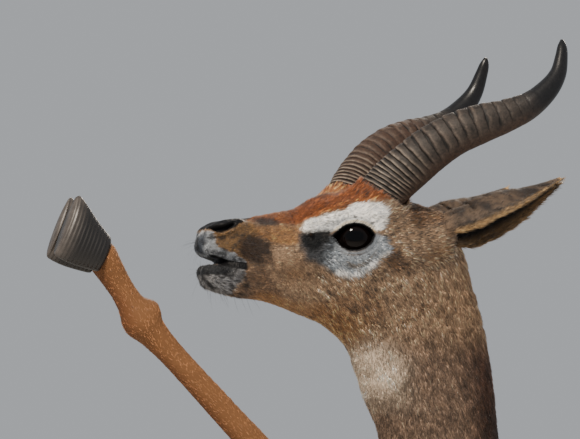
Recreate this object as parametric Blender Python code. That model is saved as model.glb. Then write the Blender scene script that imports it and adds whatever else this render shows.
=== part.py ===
# Gerenuk, adult male, life size, up on its hind legs as it browses, on a plain display base.
# Metres, +Z up. The animal faces -X and its left side faces -Y. The origin is the middle of
# the base's underside. The flesh is a smooth union of tubes, each drawn through a few stations,
# and is parted into named nodes by thin cuts. Horns, ears, eyes, hooves and base are their own.

import math

import bmesh
import bpy
import numpy as np
from mathutils import Matrix, Vector

# Driving dimensions
EYE_HEIGHT = 1.86          # eye level above the floor
HEAD_X = -0.17             # the head's reference point, on the midline at eye level
BASE_THICK = 0.030
BASE_LONG, BASE_WIDE, BASE_ROUND = 0.70, 0.50, 0.040
BASE_BEVEL = 0.004
GAP = 0.0003               # touching nodes keep this apart
WELD = 0.00003             # points nearer than this are one

HEAD_VOXEL = 0.0024        # grid that the head's surface is drawn from
BODY_VOXEL = 0.0052
HEAD_TRIANGLES = 3300      # after thinning, before the sockets are cut
BODY_TRIANGLES = 4600
GROWN, MOST_GROWN = 0.12, 0.009       # how much the balls are grown, so that they leave no pockets

MM = 0.001
HEAD = Vector((HEAD_X, 0.0, EYE_HEIGHT))
FLOOR = BASE_THICK + GAP   # where the hind hooves stand

# Colours as the coat shows them
TAN = (0.42, 0.22, 0.11, 1)
RUST = (0.36, 0.14, 0.05, 1)
HORN = (0.10, 0.075, 0.055, 1)
BLACK = (0.012, 0.010, 0.010, 1)
EAR = (0.30, 0.19, 0.11, 1)
WOOD = (0.20, 0.13, 0.08, 1)


def from_head(x, y, z):
    """A place given in millimetres from the head's reference point."""
    return HEAD + Vector((x, y, z)) * MM


# Tubes of flesh. A station is x, y, z, half depth and width ratio: the tube's section there is
# an ellipse with that half depth in the animal's own plane, and ratio times as much across.
# A tube with a side is made twice, mirrored in Y.

# Head, in millimetres from the reference point
HEAD_TUBES = {
    "muzzle": (7, False, [
        (-134, 0, -8, 13.5, 1.05), (-120, 0, -6.5, 17, 1.02), (-100, 0, -6, 19.5, 0.95),
        (-75, 0, -4, 22.5, 0.90), (-50, 0, -2, 26, 0.95), (-25, 0, 3, 31, 1.12)]),
    "jaw": (7, False, [
        (-138, 0, -41, 8.0, 1.45), (-126, 0, -42, 10.5, 1.3), (-108, 0, -42, 13.5, 1.15),
        (-80, 0, -44.5, 15, 1.1), (-50, 0, -50, 18.6, 1.0), (-20, 0, -54, 23, 1.0),
        (6, 0, -59, 27, 1.0)]),
    "inside_mouth": (6, False, [
        (-124, 0, -29, 9, 1.1), (-109, 0, -28, 13, 1.42), (-88, 0, -27, 16, 1.25),
        (-50, 0, -28, 22, 1.05), (-15, 0, -30, 30, 1.0)]),
    "braincase": (10, False, [
        (-25, 0, 3, 31, 1.12), (0, 0, 1, 37, 1.1), (28, 0, -3, 37, 1.08),
        (52, 0, -10, 34, 1.05), (68, 0, -17, 28, 1.0)]),
    "brow": (12, True, [
        (-46, 20, 8, 13, 1.0), (-30, 28, 14, 15, 1.0), (-12, 30, 22, 18, 0.95),
        (4, 31, 28, 21, 0.92)]),
    "orbit": (10, True, [
        (-46, 20, -4, 17, 0.9), (-22, 27, 0, 21, 0.80), (2, 31, 0, 19, 0.80)]),
    "lids": (5, True, [(-17, 27, -4, 22.3, 1.0), (-15, 27.5, -4, 22.3, 1.0)]),
    "temple": (12, True, [(2, 30, 6, 22, 0.8), (30, 26, 6, 24, 0.8), (52, 26, 2, 22, 0.8)]),
    "cheekbone": (14, True, [
        (-66, 13, -18, 12, 1.0), (-35, 26, -22, 13, 0.9), (-5, 33, -22, 13, 0.9),
        (25, 33, -14, 13, 0.9), (45, 28, -8, 12, 1.0)]),
    "cheek": (16, True, [
        (-34, 14, -42, 20, 0.8), (0, 18, -44, 30, 0.75), (26, 20, -46, 32, 0.7)]),
    "nose": (5, True, [
        (-139, 7, -3, 7, 1.0), (-130, 10.5, 1, 8.5, 0.95), (-117, 11, 4, 7.5, 0.9)]),
    "upper_lip": (7, True, [
        (-141, 5.5, -14, 8, 1.0), (-131, 11.5, -16, 8.5, 0.95), (-114, 14, -19, 8, 0.85),
        (-96, 13, -22, 8, 0.8)]),
    "lower_lip": (5, True, [
        (-141, 5.5, -35, 6.5, 1.0), (-130, 11, -34.5, 6.5, 0.9), (-114, 13.5, -34, 6.5, 0.9),
        (-98, 12.5, -34, 8, 0.8)]),
    "horn_root": (9, True, [(0, 29.5, 24, 21.5, 0.95), (9, 32, 36, 22, 0.92)]),
    "ear_root": (12, True, [(36, 24, -2, 18, 1.0), (50, 31, -0.5, 18.3, 1.0), (60, 35.3, 1.8, 17, 1.0)]),
    "throat": (16, False, [
        (0, 0, -62, 24, 1.0), (28, 0, -80, 37, 0.84), (50, 0, -104, 47, 0.80)]),
}

# Neck and trunk, in millimetres from the head's point, so that the neck runs on from the head
NECK_TUBES = {
    "neck": (20, False, [
        (62, 0, -22, 30, 0.95), (66, 0, -50, 43, 0.82), (66, 0, -92, 55, 0.79),
        (74, 0, -140, 55, 0.80), (80, 0, -175, 52.5, 0.81), (92, 0, -240, 53, 0.80),
        (105, 0, -310, 59, 0.79), (116, 0, -370, 72, 0.78), (122, 0, -430, 92, 0.76),
        (126, 0, -480, 112, 0.74)]),
}

# Body, in metres. Legs are given for the side that they stand on
TRUNK_TUBES = {
    "trunk": (0.035, False, [
        (-0.040, 0, 1.395, 0.105, 0.76), (-0.034, 0, 1.330, 0.127, 0.73),
        (-0.014, 0, 1.230, 0.137, 0.73), (0.010, 0, 1.130, 0.133, 0.77),
        (0.030, 0, 1.040, 0.120, 0.84), (0.048, 0, 0.960, 0.106, 0.86),
        (0.064, 0, 0.895, 0.100, 0.86), (0.078, 0, 0.835, 0.085, 0.90)]),
    "withers": (0.03, False, [
        (0.010, 0, 1.440, 0.050, 0.5), (0.052, 0, 1.395, 0.042, 0.55), (0.082, 0, 1.330, 0.036, 0.7)]),
    "croup": (0.03, False, [
        (0.110, 0, 0.980, 0.045, 0.9), (0.130, 0, 0.900, 0.045, 1.0), (0.128, 0, 0.845, 0.034, 0.9)]),
    "shoulder": (0.028, True, [
        (0.035, 0.050, 1.400, 0.056, 0.55), (-0.040, 0.070, 1.400, 0.066, 0.5),
        (-0.100, 0.080, 1.388, 0.056, 0.55)]),
}

# A foreleg: joints of the upper arm, elbow, knee and fetlock, and the coronet, as x, y, z
LEFT_FORE = {
    "shoulder": (-0.100, -0.082, 1.385), "elbow": (-0.258, -0.088, 1.376),
    "knee": (-0.2394, -0.085, 1.612), "fetlock": (-0.408, -0.085, 1.776),
    "coronet": (-0.4440, -0.085, 1.8285), "toe_up": 62.0}
RIGHT_FORE = {
    "shoulder": (-0.100, 0.082, 1.385), "elbow": (-0.232, 0.090, 1.292),
    "knee": (-0.372, 0.088, 1.480), "fetlock": (-0.450, 0.084, 1.260),
    "coronet": (-0.4435, 0.082, 1.1975), "toe_up": -78.0}
# A hind leg: hip, stifle, hock, fetlock and coronet, from the hoof's place on the base
HIND = {
    "hip": (0.068, 0.050, 0.820), "stifle": (-0.030, 0.078, 0.640), "hock": (0.082, 0.080, 0.384),
    "fetlock": (0.038, 0.080, 0.124), "coronet": (0.002, 0.080, 0.0715)}
HIND_STEP = 0.020          # the left hind foot stands this far ahead of the middle, the right behind
HIP_HEIGHT = 0.82

# Half depth and width ratio down a leg, at shares of each bone's length
FORE_SHAPE = {
    "arm": [(0.0, 0.058, 0.55), (0.45, 0.050, 0.62), (0.8, 0.040, 0.72), (1.0, 0.034, 0.75)],
    "forearm": [(0.0, 0.032, 0.76), (0.14, 0.0335, 0.76), (0.38, 0.0265, 0.80), (0.66, 0.0185, 0.86),
                (0.88, 0.0170, 0.95), (1.0, 0.0190, 0.92)],
    "cannon": [(0.0, 0.0195, 0.90), (0.10, 0.0175, 0.85), (0.26, 0.0150, 0.76), (0.55, 0.0138, 0.76),
               (0.82, 0.0128, 0.84), (0.94, 0.0145, 0.90), (1.0, 0.0165, 0.90)],
    "pastern": [(0.0, 0.0160, 0.92), (0.45, 0.0120, 1.02), (1.0, 0.0148, 1.15)],
}
HIND_SHAPE = {
    "thigh": [(0.0, 0.088, 0.58), (0.35, 0.090, 0.56), (0.7, 0.066, 0.60), (1.0, 0.046, 0.68)],
    "gaskin": [(0.0, 0.046, 0.68), (0.2, 0.043, 0.66), (0.45, 0.031, 0.72), (0.72, 0.0200, 0.80),
               (0.9, 0.0185, 0.85), (1.0, 0.0215, 0.76)],
    "cannon": [(0.0, 0.0220, 0.74), (0.10, 0.0185, 0.76), (0.26, 0.0155, 0.76), (0.55, 0.0142, 0.76),
               (0.82, 0.0135, 0.84), (0.94, 0.0155, 0.88), (1.0, 0.0170, 0.90)],
    "pastern": [(0.0, 0.0165, 0.92), (0.45, 0.0128, 1.02), (1.0, 0.0155, 1.15)],
}


def spline(stations, spacing):
    """Stations along a smooth curve through the given ones, closer together than spacing half depths."""
    points = np.array(stations, float)
    ends = np.vstack([2 * points[0] - points[1], points, 2 * points[-1] - points[-2]])
    run = []
    for i in range(1, len(ends) - 2):
        a, b, c, d = ends[i - 1:i + 3]
        length = np.linalg.norm((c - b)[:3])
        steps = max(1, math.ceil(length / (spacing * min(b[3], c[3]))))
        for t in np.arange(steps) / steps:
            run.append(0.5 * (2 * b + (c - a) * t + (2 * a - 5 * b + 4 * c - d) * t ** 2
                              + (3 * b - a - 3 * c + d) * t ** 3))
    return np.array(run + [points[-1]])


def both_sides(tubes, scale=1.0, origin=Vector()):
    """Tubes as (blend, stations) in metres, with the sided ones made twice."""
    made = []
    for blend, sided, stations in tubes.values():
        for side in ((1, -1) if sided else (1,)):
            made.append((blend * scale, [
                (origin.x + x * scale, origin.y + side * y * scale, origin.z + z * scale, depth * scale, ratio)
                for x, y, z, depth, ratio in stations]))
    return made


def bone(start, end, shape):
    start, end = Vector(start), Vector(end)
    return [(*start.lerp(end, share), depth, ratio) for share, depth, ratio in shape]


def fore_tubes(leg):
    """Flesh of a foreleg, with the point of the elbow, the triceps and the swellings at the joints."""
    shoulder, elbow, knee, fetlock, coronet = (
        Vector(leg[n]) for n in ("shoulder", "elbow", "knee", "fetlock", "coronet"))
    back = (fetlock - knee).cross(Vector((0, 1, 0))).normalized()
    if back.dot(coronet - fetlock) > 0 and leg is LEFT_FORE:
        back = -back
    olecranon = elbow + (elbow - knee).normalized() * 0.020 + (elbow - shoulder).normalized() * 0.006
    chest = shoulder + Vector((0.115, 0, -0.055))
    chest.y *= 0.75
    palm = -back if leg is LEFT_FORE else back
    return [
        (0.022, bone(shoulder, elbow, FORE_SHAPE["arm"])),
        (0.020, [(*chest, 0.060, 0.45), (*chest.lerp(olecranon, 0.5), 0.046, 0.55),
                 (*chest.lerp(olecranon, 0.85), 0.028, 0.7), (*olecranon, 0.015, 0.8)]),
        (0.012, bone(elbow, knee, FORE_SHAPE["forearm"])),
        (0.006, bone(knee, fetlock, FORE_SHAPE["cannon"])),
        (0.006, bone(fetlock, coronet, FORE_SHAPE["pastern"])),
        (0.008, [(*(fetlock + palm * 0.010), 0.0095, 1.1), (*(fetlock + palm * 0.0135), 0.0075, 1.3)]),
    ]


def hind_point(name, side):
    """A joint of the hind leg on a side, where the foot's step fades out up to the hip."""
    x, y, z = HIND[name]
    step = -HIND_STEP if side < 0 else HIND_STEP
    return Vector((x + step * max(0.0, 1 - z / HIP_HEIGHT), side * y, z))


def hind_tubes(side):
    hip, stifle, hock, fetlock, coronet = (
        hind_point(n, side) for n in ("hip", "stifle", "hock", "fetlock", "coronet"))
    heel = hock + Vector((0.026, 0, 0.026))
    out = Vector((0, side, 0))
    buttock = Vector((0.128, side * 0.042, 0.800))
    return [
        (0.034, bone(hip, stifle + Vector((0.022, 0, 0)), HIND_SHAPE["thigh"])),
        (0.020, [(*(stifle + Vector((0.010, 0, 0.060))), 0.040, 0.7), (*stifle, 0.030, 0.8),
                 (*(stifle + Vector((0.012, 0, -0.050))), 0.026, 0.8)]),
        (0.028, [(*buttock, 0.052, 0.72), (*(buttock + Vector((-0.018, 0, -0.090)) + out * 0.018), 0.047, 0.70),
                 (*(buttock + Vector((-0.044, 0, -0.190)) + out * 0.032), 0.033, 0.70),
                 (*(buttock + Vector((-0.050, 0, -0.270)) + out * 0.036), 0.018, 0.8)]),
        (0.016, bone(stifle + Vector((0.018, 0, -0.006)), hock, HIND_SHAPE["gaskin"])),
        (0.008, [(*(buttock + Vector((-0.050, 0, -0.250)) + out * 0.036), 0.012, 0.7),
                 (*hock.lerp(heel, 0.8).lerp(buttock, 0.22), 0.0085, 0.7), (*heel, 0.0105, 0.9)]),
        (0.008, [(*heel, 0.0105, 0.95), (*(hock + Vector((0.010, 0, -0.030))), 0.0125, 0.95)]),
        (0.016, [(*(stifle + Vector((0.070, 0, 0.075)) - out * 0.006), 0.062, 0.50),
                 (*(stifle + Vector((0.073, 0, -0.030))), 0.058, 0.50),
                 (*(stifle.lerp(hock, 0.41) + Vector((0.037, 0, 0))), 0.040, 0.48),
                 (*(stifle.lerp(hock, 0.625) + Vector((0.027, 0, 0))), 0.032, 0.36),
                 (*(stifle.lerp(hock, 0.80) + Vector((0.021, 0, 0))), 0.024, 0.32),
                 (*(hock + Vector((0.012, 0, 0.022))), 0.016, 0.5)]),
        (0.006, bone(hock, fetlock, HIND_SHAPE["cannon"])),
        (0.006, bone(fetlock, coronet, HIND_SHAPE["pastern"])),
        (0.008, [(*(fetlock + Vector((0.011, 0, 0.001))), 0.0100, 1.1),
                 (*(fetlock + Vector((0.0145, 0, -0.004))), 0.0075, 1.3)]),
    ]


def tube_distance(points, stations):
    """Roughly how far points lie outside a tube, for those near its box, and a large value elsewhere."""
    run = spline(stations, 0.9)
    reach = 0.05
    low = (run[:, :3] - run[:, 3:4] * np.maximum(1, run[:, 4:5])).min(0) - reach
    high = (run[:, :3] + run[:, 3:4] * np.maximum(1, run[:, 4:5])).max(0) + reach
    near = np.all((points > low) & (points < high), axis=1)
    found = np.full(len(points), 1.0)
    p = points[near]
    best = np.full(len(p), 1.0)
    for a, b in zip(run[:-1], run[1:]):
        axis = b[:3] - a[:3]
        t = np.clip((p - a[:3]) @ axis / max(axis @ axis, 1e-12), 0, 1)
        off = p - a[:3] - t[:, None] * axis
        ratio = a[4] + t * (b[4] - a[4])
        radius = a[3] + t * (b[3] - a[3])
        away = np.sqrt(off[:, 0] ** 2 + off[:, 2] ** 2 + (off[:, 1] / ratio) ** 2)
        best = np.minimum(best, (away - radius) * np.minimum(1, ratio))
    found[near] = best
    return found


def flesh_distance(points, tubes):
    """The smooth union of all tubes: where two meet, their blend width rounds the crease."""
    total = None
    for blend, stations in tubes:
        d = tube_distance(points, stations)
        if total is None:
            total = d
            continue
        h = np.maximum(blend - np.abs(total - d), 0) / blend
        total = np.minimum(total, d) - h * h * blend / 4
    return total


def evaluated_copy(obj):
    """Applies an object's modifiers."""
    bpy.context.view_layer.update()
    graph = bpy.context.evaluated_depsgraph_get()
    mesh = bpy.data.meshes.new_from_object(obj.evaluated_get(graph))
    obj.modifiers.clear()
    obj.data = mesh
    return obj


def new_object(name, bm):
    mesh = bpy.data.meshes.new(name)
    bm.to_mesh(mesh)
    bm.free()
    obj = bpy.data.objects.new(name, mesh)
    bpy.context.scene.collection.objects.link(obj)
    return obj


def volume(obj):
    bm = bmesh.new()
    bm.from_mesh(obj.data)
    found = bm.calc_volume(signed=True)
    bm.free()
    return found


def boolean(obj, others, operation):
    """Cuts the others from an object, or joins them to it, and removes them."""
    group = bpy.data.collections.new("operands")
    bpy.context.scene.collection.children.link(group)
    for other in others:
        group.objects.link(other)
    whole, before = obj.data, volume(obj)
    for solver in ("MANIFOLD", "EXACT"):
        obj.data = whole
        step = obj.modifiers.new("boolean", "BOOLEAN")
        step.operation = operation
        step.operand_type = "COLLECTION"
        step.collection = group
        step.solver = solver
        evaluated_copy(obj)
        change = volume(obj) - before
        if 0.2 * before < before + change and abs(change) > 1e-8:
            break
    for other in others:
        bpy.data.objects.remove(other)
    bpy.data.collections.remove(group)
    return obj


def box(center, along, across, sizes):
    """A cutter: its sizes run along a direction, across it in the given one, and square to both."""
    along = Vector(along).normalized()
    third = along.cross(Vector(across)).normalized()
    across = third.cross(along)
    turn = Matrix((along, across, third)).transposed().to_4x4()
    bm = bmesh.new()
    bmesh.ops.create_cube(bm, size=1, matrix=Matrix.Translation(center) @ turn @ Matrix.Diagonal((*sizes, 1)))
    return new_object("cutter", bm)


def slab(center, normal, wide, deep):
    """A cut as thin as the gap between two nodes. Wide runs in the animal's own plane."""
    return box(center, normal, Vector(normal).cross((0, 1, 0)), (GAP, wide, deep))


def islands(obj):
    """The separate closed bodies in an object, each as an object, without stray slivers."""
    bm = bmesh.new()
    bm.from_mesh(obj.data)
    bmesh.ops.triangulate(bm, faces=bm.faces)
    bmesh.ops.remove_doubles(bm, verts=bm.verts, dist=WELD)
    bm.verts.ensure_lookup_table()
    bm.faces.index_update()
    unseen = set(bm.verts)
    made = []
    while unseen:
        stack = [unseen.pop()]
        island = set(stack)
        while stack:
            for edge in stack.pop().link_edges:
                for vert in edge.verts:
                    if vert in unseen:
                        unseen.discard(vert)
                        island.add(vert)
                        stack.append(vert)
        faces = {}
        around = {face for vert in island for face in vert.link_faces}
        for face in sorted(around, key=lambda face: (-face.calc_area(), face.index)):
            faces.setdefault(frozenset(face.verts), []).append(face)
        single = [found[0] for found in faces.values() if len(found) == 1]
        piece = bmesh.new()
        copies = {}
        for face in single:
            for vert in face.verts:
                if vert not in copies:
                    copies[vert] = piece.verts.new(vert.co)
            piece.faces.new([copies[vert] for vert in face.verts])
        if piece.calc_volume(signed=True) < 2e-8:
            piece.free()
            continue
        made.append(new_object("piece", piece))
    bm.free()
    bpy.data.objects.remove(obj)
    return made


def sweep(bm, sections):
    """A closed tube through rings of points, with flat ends."""
    rings = [[bm.verts.new(point) for point in ring] for ring in sections]
    for low, high in zip(rings, rings[1:]):
        for i in range(len(low)):
            j = (i + 1) % len(low)
            bm.faces.new((low[i], low[j], high[j], high[i]))
    bm.faces.new(rings[0][::-1])
    bm.faces.new(rings[-1])
    bmesh.ops.recalc_face_normals(bm, faces=bm.faces)


def along(points, distance):
    """The place at a distance along a line of points, and the line's direction there."""
    for a, b in zip(points, points[1:]):
        length = (b - a).length
        if distance <= length or b is points[-1]:
            return a + (b - a) * (distance / length), (b - a).normalized()
        distance -= length


def ball(bm, station, grown=0.0, fineness=2):
    x, y, z, depth, ratio = station
    sizes = (depth + grown, depth * ratio + grown, depth + grown, 1)
    bmesh.ops.create_icosphere(
        bm, subdivisions=fineness, radius=1, matrix=Matrix.Translation((x, y, z)) @ Matrix.Diagonal(sizes))


def outer_shell(obj):
    """Leaves only the largest connected surface of an object, without the pockets inside it."""
    bm = bmesh.new()
    bm.from_mesh(obj.data)
    unseen = set(bm.verts)
    shells = []
    while unseen:
        stack = [unseen.pop()]
        shell = set(stack)
        while stack:
            for edge in stack.pop().link_edges:
                for vert in edge.verts:
                    if vert in unseen:
                        unseen.discard(vert)
                        shell.add(vert)
                        stack.append(vert)
        shells.append(shell)
    shells.sort(key=len)
    bmesh.ops.delete(bm, geom=[vert for shell in shells[:-1] for vert in shell], context="VERTS")
    bm.to_mesh(obj.data)
    bm.free()


def flesh(name, tubes, voxel, triangles, cap):
    """A closed skin round the tubes: balls remeshed into one, drawn onto the smooth union, and thinned.

    With a cap, the skin ends there: a point, the direction that is left out, and how far round
    the point this holds.
    """
    at, way, reach = cap
    bm = bmesh.new()
    for _, stations in tubes:
        for station in spline(stations, 0.4):
            off = Vector(station[:3]) - at
            if off.dot(way) < 0.030 or off.length > reach:
                ball(bm, station, min(MOST_GROWN, 0.0005 + GROWN * station[3]))
    obj = new_object(name, bm)
    remesh = obj.modifiers.new("remesh", "REMESH")
    remesh.mode = "VOXEL"
    remesh.voxel_size = voxel
    evaluated_copy(obj)
    outer_shell(obj)
    mesh = obj.data
    count = len(mesh.vertices)
    edges = np.empty(len(mesh.edges) * 2, np.int32)
    mesh.edges.foreach_get("vertices", edges)
    edges = edges.reshape(-1, 2)
    degree = np.bincount(edges.ravel(), minlength=count)[:, None]
    points = np.empty(count * 3, np.float32)
    mesh.vertices.foreach_get("co", points)
    points = points.reshape(-1, 3).astype(float)
    normals = np.empty(count * 3, np.float32)
    off = points - np.array(at)
    kept = (off @ np.array(way) < 0.008) | (np.linalg.norm(off, axis=1) > reach)
    for settle in (0.6, 0.5, 0.4, 0.3, 0.0):
        around = np.zeros_like(points)
        np.add.at(around, edges[:, 0], points[edges[:, 1]])
        np.add.at(around, edges[:, 1], points[edges[:, 0]])
        points += settle * (around / degree - points)
        mesh.vertices.foreach_set("co", points.astype(np.float32).ravel())
        mesh.update()
        mesh.vertex_normals.foreach_get("vector", normals)
        step = np.clip(flesh_distance(points[kept], tubes), -2 * voxel, 2 * voxel)
        points[kept] -= normals.reshape(-1, 3)[kept] * step[:, None]
    mesh.vertices.foreach_set("co", points.astype(np.float32).ravel())
    mesh.update()
    thin = obj.modifiers.new("thin", "DECIMATE")
    thin.ratio = triangles / (2 * len(mesh.polygons))
    evaluated_copy(obj)
    beyond = box(at + way * (0.06 - GAP / 2), way, way.cross((0, 1, 0)), (0.12, 1.3 * reach, 1.3 * reach))
    return boolean(obj, [beyond], "DIFFERENCE")


# Horns. Millimetres from the head's point, then the width in the animal's own plane
HORN_LINE = [
    (-1, -29.5, 24.5, 40), (6, -32.5, 32.2, 40), (15.8, -39, 44.8, 41), (29.6, -48, 59.3, 40.6),
    (44.8, -56, 73.2, 39), (62.8, -63, 85.4, 36.5), (84, -70, 94.6, 33.7), (105.6, -75, 102, 28.6),
    (126.9, -79, 111.7, 23.4), (144, -80, 125.7, 19.4), (155, -79, 140.2, 15), (160.2, -76, 155.7, 10.4),
    (163, -72, 171, 1.8)]
HORN_RATIO = 0.86          # across, as a share of that width
HORN_SIDES = 12
RINGS = 22
RING_FIRST, RING_WIDEST = 3.7, 10.4   # spacing of the crowded rings at the root, and the widest, in mm
RING_CROWD, RING_GROWTH = 5.5, 0.85   # how many rings are crowded, and how the spacing grows after them
RING_CREST, RING_VALLEY = 0.032, 0.034
HORN_START = 13.0          # where the line leaves the head, in mm along it
HORN_SEAT = (0.46, -0.20, 0.87)       # the way that the head's seat for the left horn faces
SEAT_RADIUS = 23.0
RING_TURNS = 50.0          # mm over which the rings turn from the seat's plane to square on


def horn_line(side):
    run = spline([(x, side * -y, z, width / 2, 1) for x, y, z, width in HORN_LINE], 0.16)
    points = [Vector(p[:3]) for p in run]
    lengths = np.concatenate([[0], np.cumsum([(b - a).length for a, b in zip(points, points[1:])])])
    return points, lengths, run[:, 3]


def ring_pitch(number):
    return min(RING_WIDEST, RING_FIRST + RING_GROWTH * max(0.0, number - RING_CROWD))


def horn_seat(side):
    centre, _ = along(horn_line(side)[0], HORN_START)
    return centre, Vector((HORN_SEAT[0], side * -HORN_SEAT[1], HORN_SEAT[2])).normalized()


def horn(name, side):
    points, lengths, widths = horn_line(side)
    seat, faces = horn_seat(side)
    places = [(HORN_START, 0.0)]
    s = HORN_START
    for i in range(RINGS):
        pitch = ring_pitch(i)
        fade = min(1.0, (RINGS - i) / 5)
        places += [(s + 0.4 * pitch, RING_CREST * fade), (s + pitch, -RING_VALLEY * fade)]
        s += pitch
    places += [(s + (lengths[-1] - s) * t, 0.0) for t in (0.12, 0.35, 0.6, 0.8, 0.93, 1.0)]
    sections = []
    for distance, swell in places:
        centre, direction = along(points, min(distance, lengths[-1] - 1e-6))
        back = Vector((direction.x, 0, direction.z)).cross(Vector((0, 1, 0)))
        across = direction.cross(back).normalized()
        deep = direction.cross(across)
        half = np.interp(distance, lengths, widths) * (1 + swell)
        level = faces.lerp(direction, min(1.0, (distance - HORN_START) / RING_TURNS)).normalized()
        ring = []
        for k in range(HORN_SIDES):
            turn = 2 * math.pi * k / HORN_SIDES
            off = deep * half * math.cos(turn) + across * half * HORN_RATIO * math.sin(turn)
            off -= direction * (off.dot(level) / direction.dot(level))
            ring.append(from_head(*(centre + off + (faces * GAP / MM if distance == HORN_START else Vector()))))
        sections.append(ring)
    bm = bmesh.new()
    sweep(bm, sections)
    return new_object(name, bm)


def seat_cut(side):
    seat, faces = horn_seat(side)
    turn = faces.to_track_quat("Z", "Y").to_matrix().to_4x4()
    bm = bmesh.new()
    bmesh.ops.create_cone(
        bm, cap_ends=True, segments=28, radius1=SEAT_RADIUS * MM, radius2=SEAT_RADIUS * MM, depth=0.04,
        matrix=Matrix.Translation(from_head(*(seat + faces * 20))) @ turn)
    return new_object("cutter", bm)


# Ears. Along the ear: the cup's middle in millimetres from the head's point, its depth, its half
# width, and how far round its wall goes, in degrees. The cup opens towards EAR_OPEN
EAR_LINE = [
    (56, -34.5, 0, 11.5, 11.5, 300), (66, -38, 3.5, 12.2, 12.0, 285), (77, -42, 6.3, 16.8, 14.6, 250),
    (92, -46, 6.5, 25, 18.5, 215), (112, -50, 12, 28, 20, 195), (125, -51, 17.5, 26, 18.5, 190),
    (138, -51.5, 24.5, 21.5, 16, 185), (154, -51, 36, 12.5, 10.5, 180), (168, -50, 46.5, 5.6, 5.5, 180),
    (178, -48.5, 54, 1.5, 1.5, 180)]
EAR_OPEN = (-0.10, -0.42, -0.90)
EAR_WALL = 2.2
EAR_STEPS = 9


def ear_sections(side, grown=0.0, stations=None):
    line = [(Vector((x, side * -y, z)), *rest) for x, y, z, *rest in (stations or EAR_LINE)]
    closed = len(stations) if stations else 2
    facing = Vector((EAR_OPEN[0], -side * EAR_OPEN[1], EAR_OPEN[2]))
    sections = []
    for i, (centre, deep, half, wrap) in enumerate(line):
        ahead = line[min(i + 1, len(line) - 1)][0] - line[max(i - 1, 0)][0]
        ahead.normalize()
        front = (facing - ahead * facing.dot(ahead)).normalized()
        across = ahead.cross(front) * side
        wall = min(EAR_WALL, half * 0.5)

        def wall_point(turn, inward):
            return from_head(*(centre - front * math.cos(turn) * (deep + grown - inward)
                               + across * math.sin(turn) * (half + grown - inward)))

        turns = [math.radians(wrap) * (k / EAR_STEPS - 0.5) for k in range(EAR_STEPS + 1)]
        ring = [wall_point(t, 0) for t in turns]
        if i < closed:
            rest = (2 * math.pi - math.radians(wrap)) / (EAR_STEPS + 2)
            ring += [wall_point(turns[-1] + rest * (k + 1), 0) for k in range(EAR_STEPS + 1)]
        else:
            ring += [wall_point(t, wall) for t in reversed(turns)]
        sections.append(ring)
    return sections


def ear(name, side):
    bm = bmesh.new()
    sweep(bm, ear_sections(side))
    return new_object(name, bm)


def ear_socket(side):
    """The ear's own closed outline at its root, a little wider, for the place where it sits in the head."""
    root, above = Vector(EAR_LINE[0][:3]), Vector(EAR_LINE[1][:3])
    base = root - (above - root).normalized() * (GAP / MM)
    last = [a + 0.5 * (b - a) for a, b in zip(EAR_LINE[2], EAR_LINE[3])]
    sections = ear_sections(side, GAP / MM + 0.1, [(*base, *EAR_LINE[0][3:]), EAR_LINE[1], EAR_LINE[2], last])
    bm = bmesh.new()
    sweep(bm, sections)
    return new_object("cutter", bm)


# Eyes
EYE = (-16, -27.5, -4)
EYE_RADIUS = 20.0
EYE_LOOKS = (-0.36, -0.93, 0.02)
# The slit between the lids, as backward and upward millimetres from the eye's middle
LIDS = [
    (-17.2, 0.8), (-13, 5.4), (-7, 9.2), (0, 10.8), (7, 9.8), (12.5, 6.8), (16.6, 1.8),
    (14, -4.2), (9, -8.6), (2.5, -11.0), (-5, -11.0), (-11, -8.2), (-15.2, -3.6)]


def eye(name, side, grown=0.0, fineness=3):
    bm = bmesh.new()
    centre = from_head(EYE[0], side * -EYE[1], EYE[2])
    bmesh.ops.create_icosphere(
        bm, subdivisions=fineness, radius=(EYE_RADIUS + grown) * MM, matrix=Matrix.Translation(centre))
    return new_object(name, bm)


def lid_opening(side):
    centre = Vector((EYE[0], side * -EYE[1], EYE[2]))
    looks = Vector((EYE_LOOKS[0], side * -EYE_LOOKS[1], EYE_LOOKS[2])).normalized()
    backward = Vector((0, 0, 1)).cross(looks).normalized()
    if backward.x < 0:
        backward = -backward
    upward = Vector((0, 0, 1))
    bm = bmesh.new()
    sections = []
    for depth, wider in ((11.0, 1.0), (34.0, 1.06)):
        sections.append([from_head(*(centre + looks * depth + backward * b * wider + upward * u * wider))
                         for b, u in LIDS])
    sweep(bm, sections)
    return new_object("cutter", bm)


# Nostrils: a slit on each side of the nose, as places along it on the skin, in millimetres from
# the head's point. The gland is a small pit in front of the eye
NOSTRIL = [(-143.0, -10.0, 1.4), (-138.5, -14.0, 1.2), (-133.5, -16.4, 0.9), (-128.5, -17.4, 2.6),
           (-123.5, -16.8, 5.8)]
NOSTRIL_HALF = 2.1         # half width of the slit at its middle
NOSTRIL_DEEP = 5.5
NOSTRIL_INTO = (0.25, 0.80, -0.55)    # the way it runs in, on the left side
GLAND = (-59.6, -34.0, -5.0)
GLAND_RADIUS = 3.8


def nostril_cut(side):
    line = [Vector((x, side * -y, z)) for x, y, z in NOSTRIL]
    into = Vector((NOSTRIL_INTO[0], side * -NOSTRIL_INTO[1], NOSTRIL_INTO[2])).normalized()
    sections = []
    for i, (centre, share) in enumerate(zip(line, (0.35, 0.85, 1.0, 0.85, 0.35))):
        ahead = (line[min(i + 1, 4)] - line[max(i - 1, 0)]).normalized()
        across = ahead.cross(into).normalized()
        sections.append([from_head(*(centre + across * math.cos(turn) * NOSTRIL_HALF * share
                                     + into * math.sin(turn) * NOSTRIL_DEEP * share))
                         for turn in (math.pi * k / 4 for k in range(8))])
    bm = bmesh.new()
    sweep(bm, sections)
    return new_object("cutter", bm)


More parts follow.
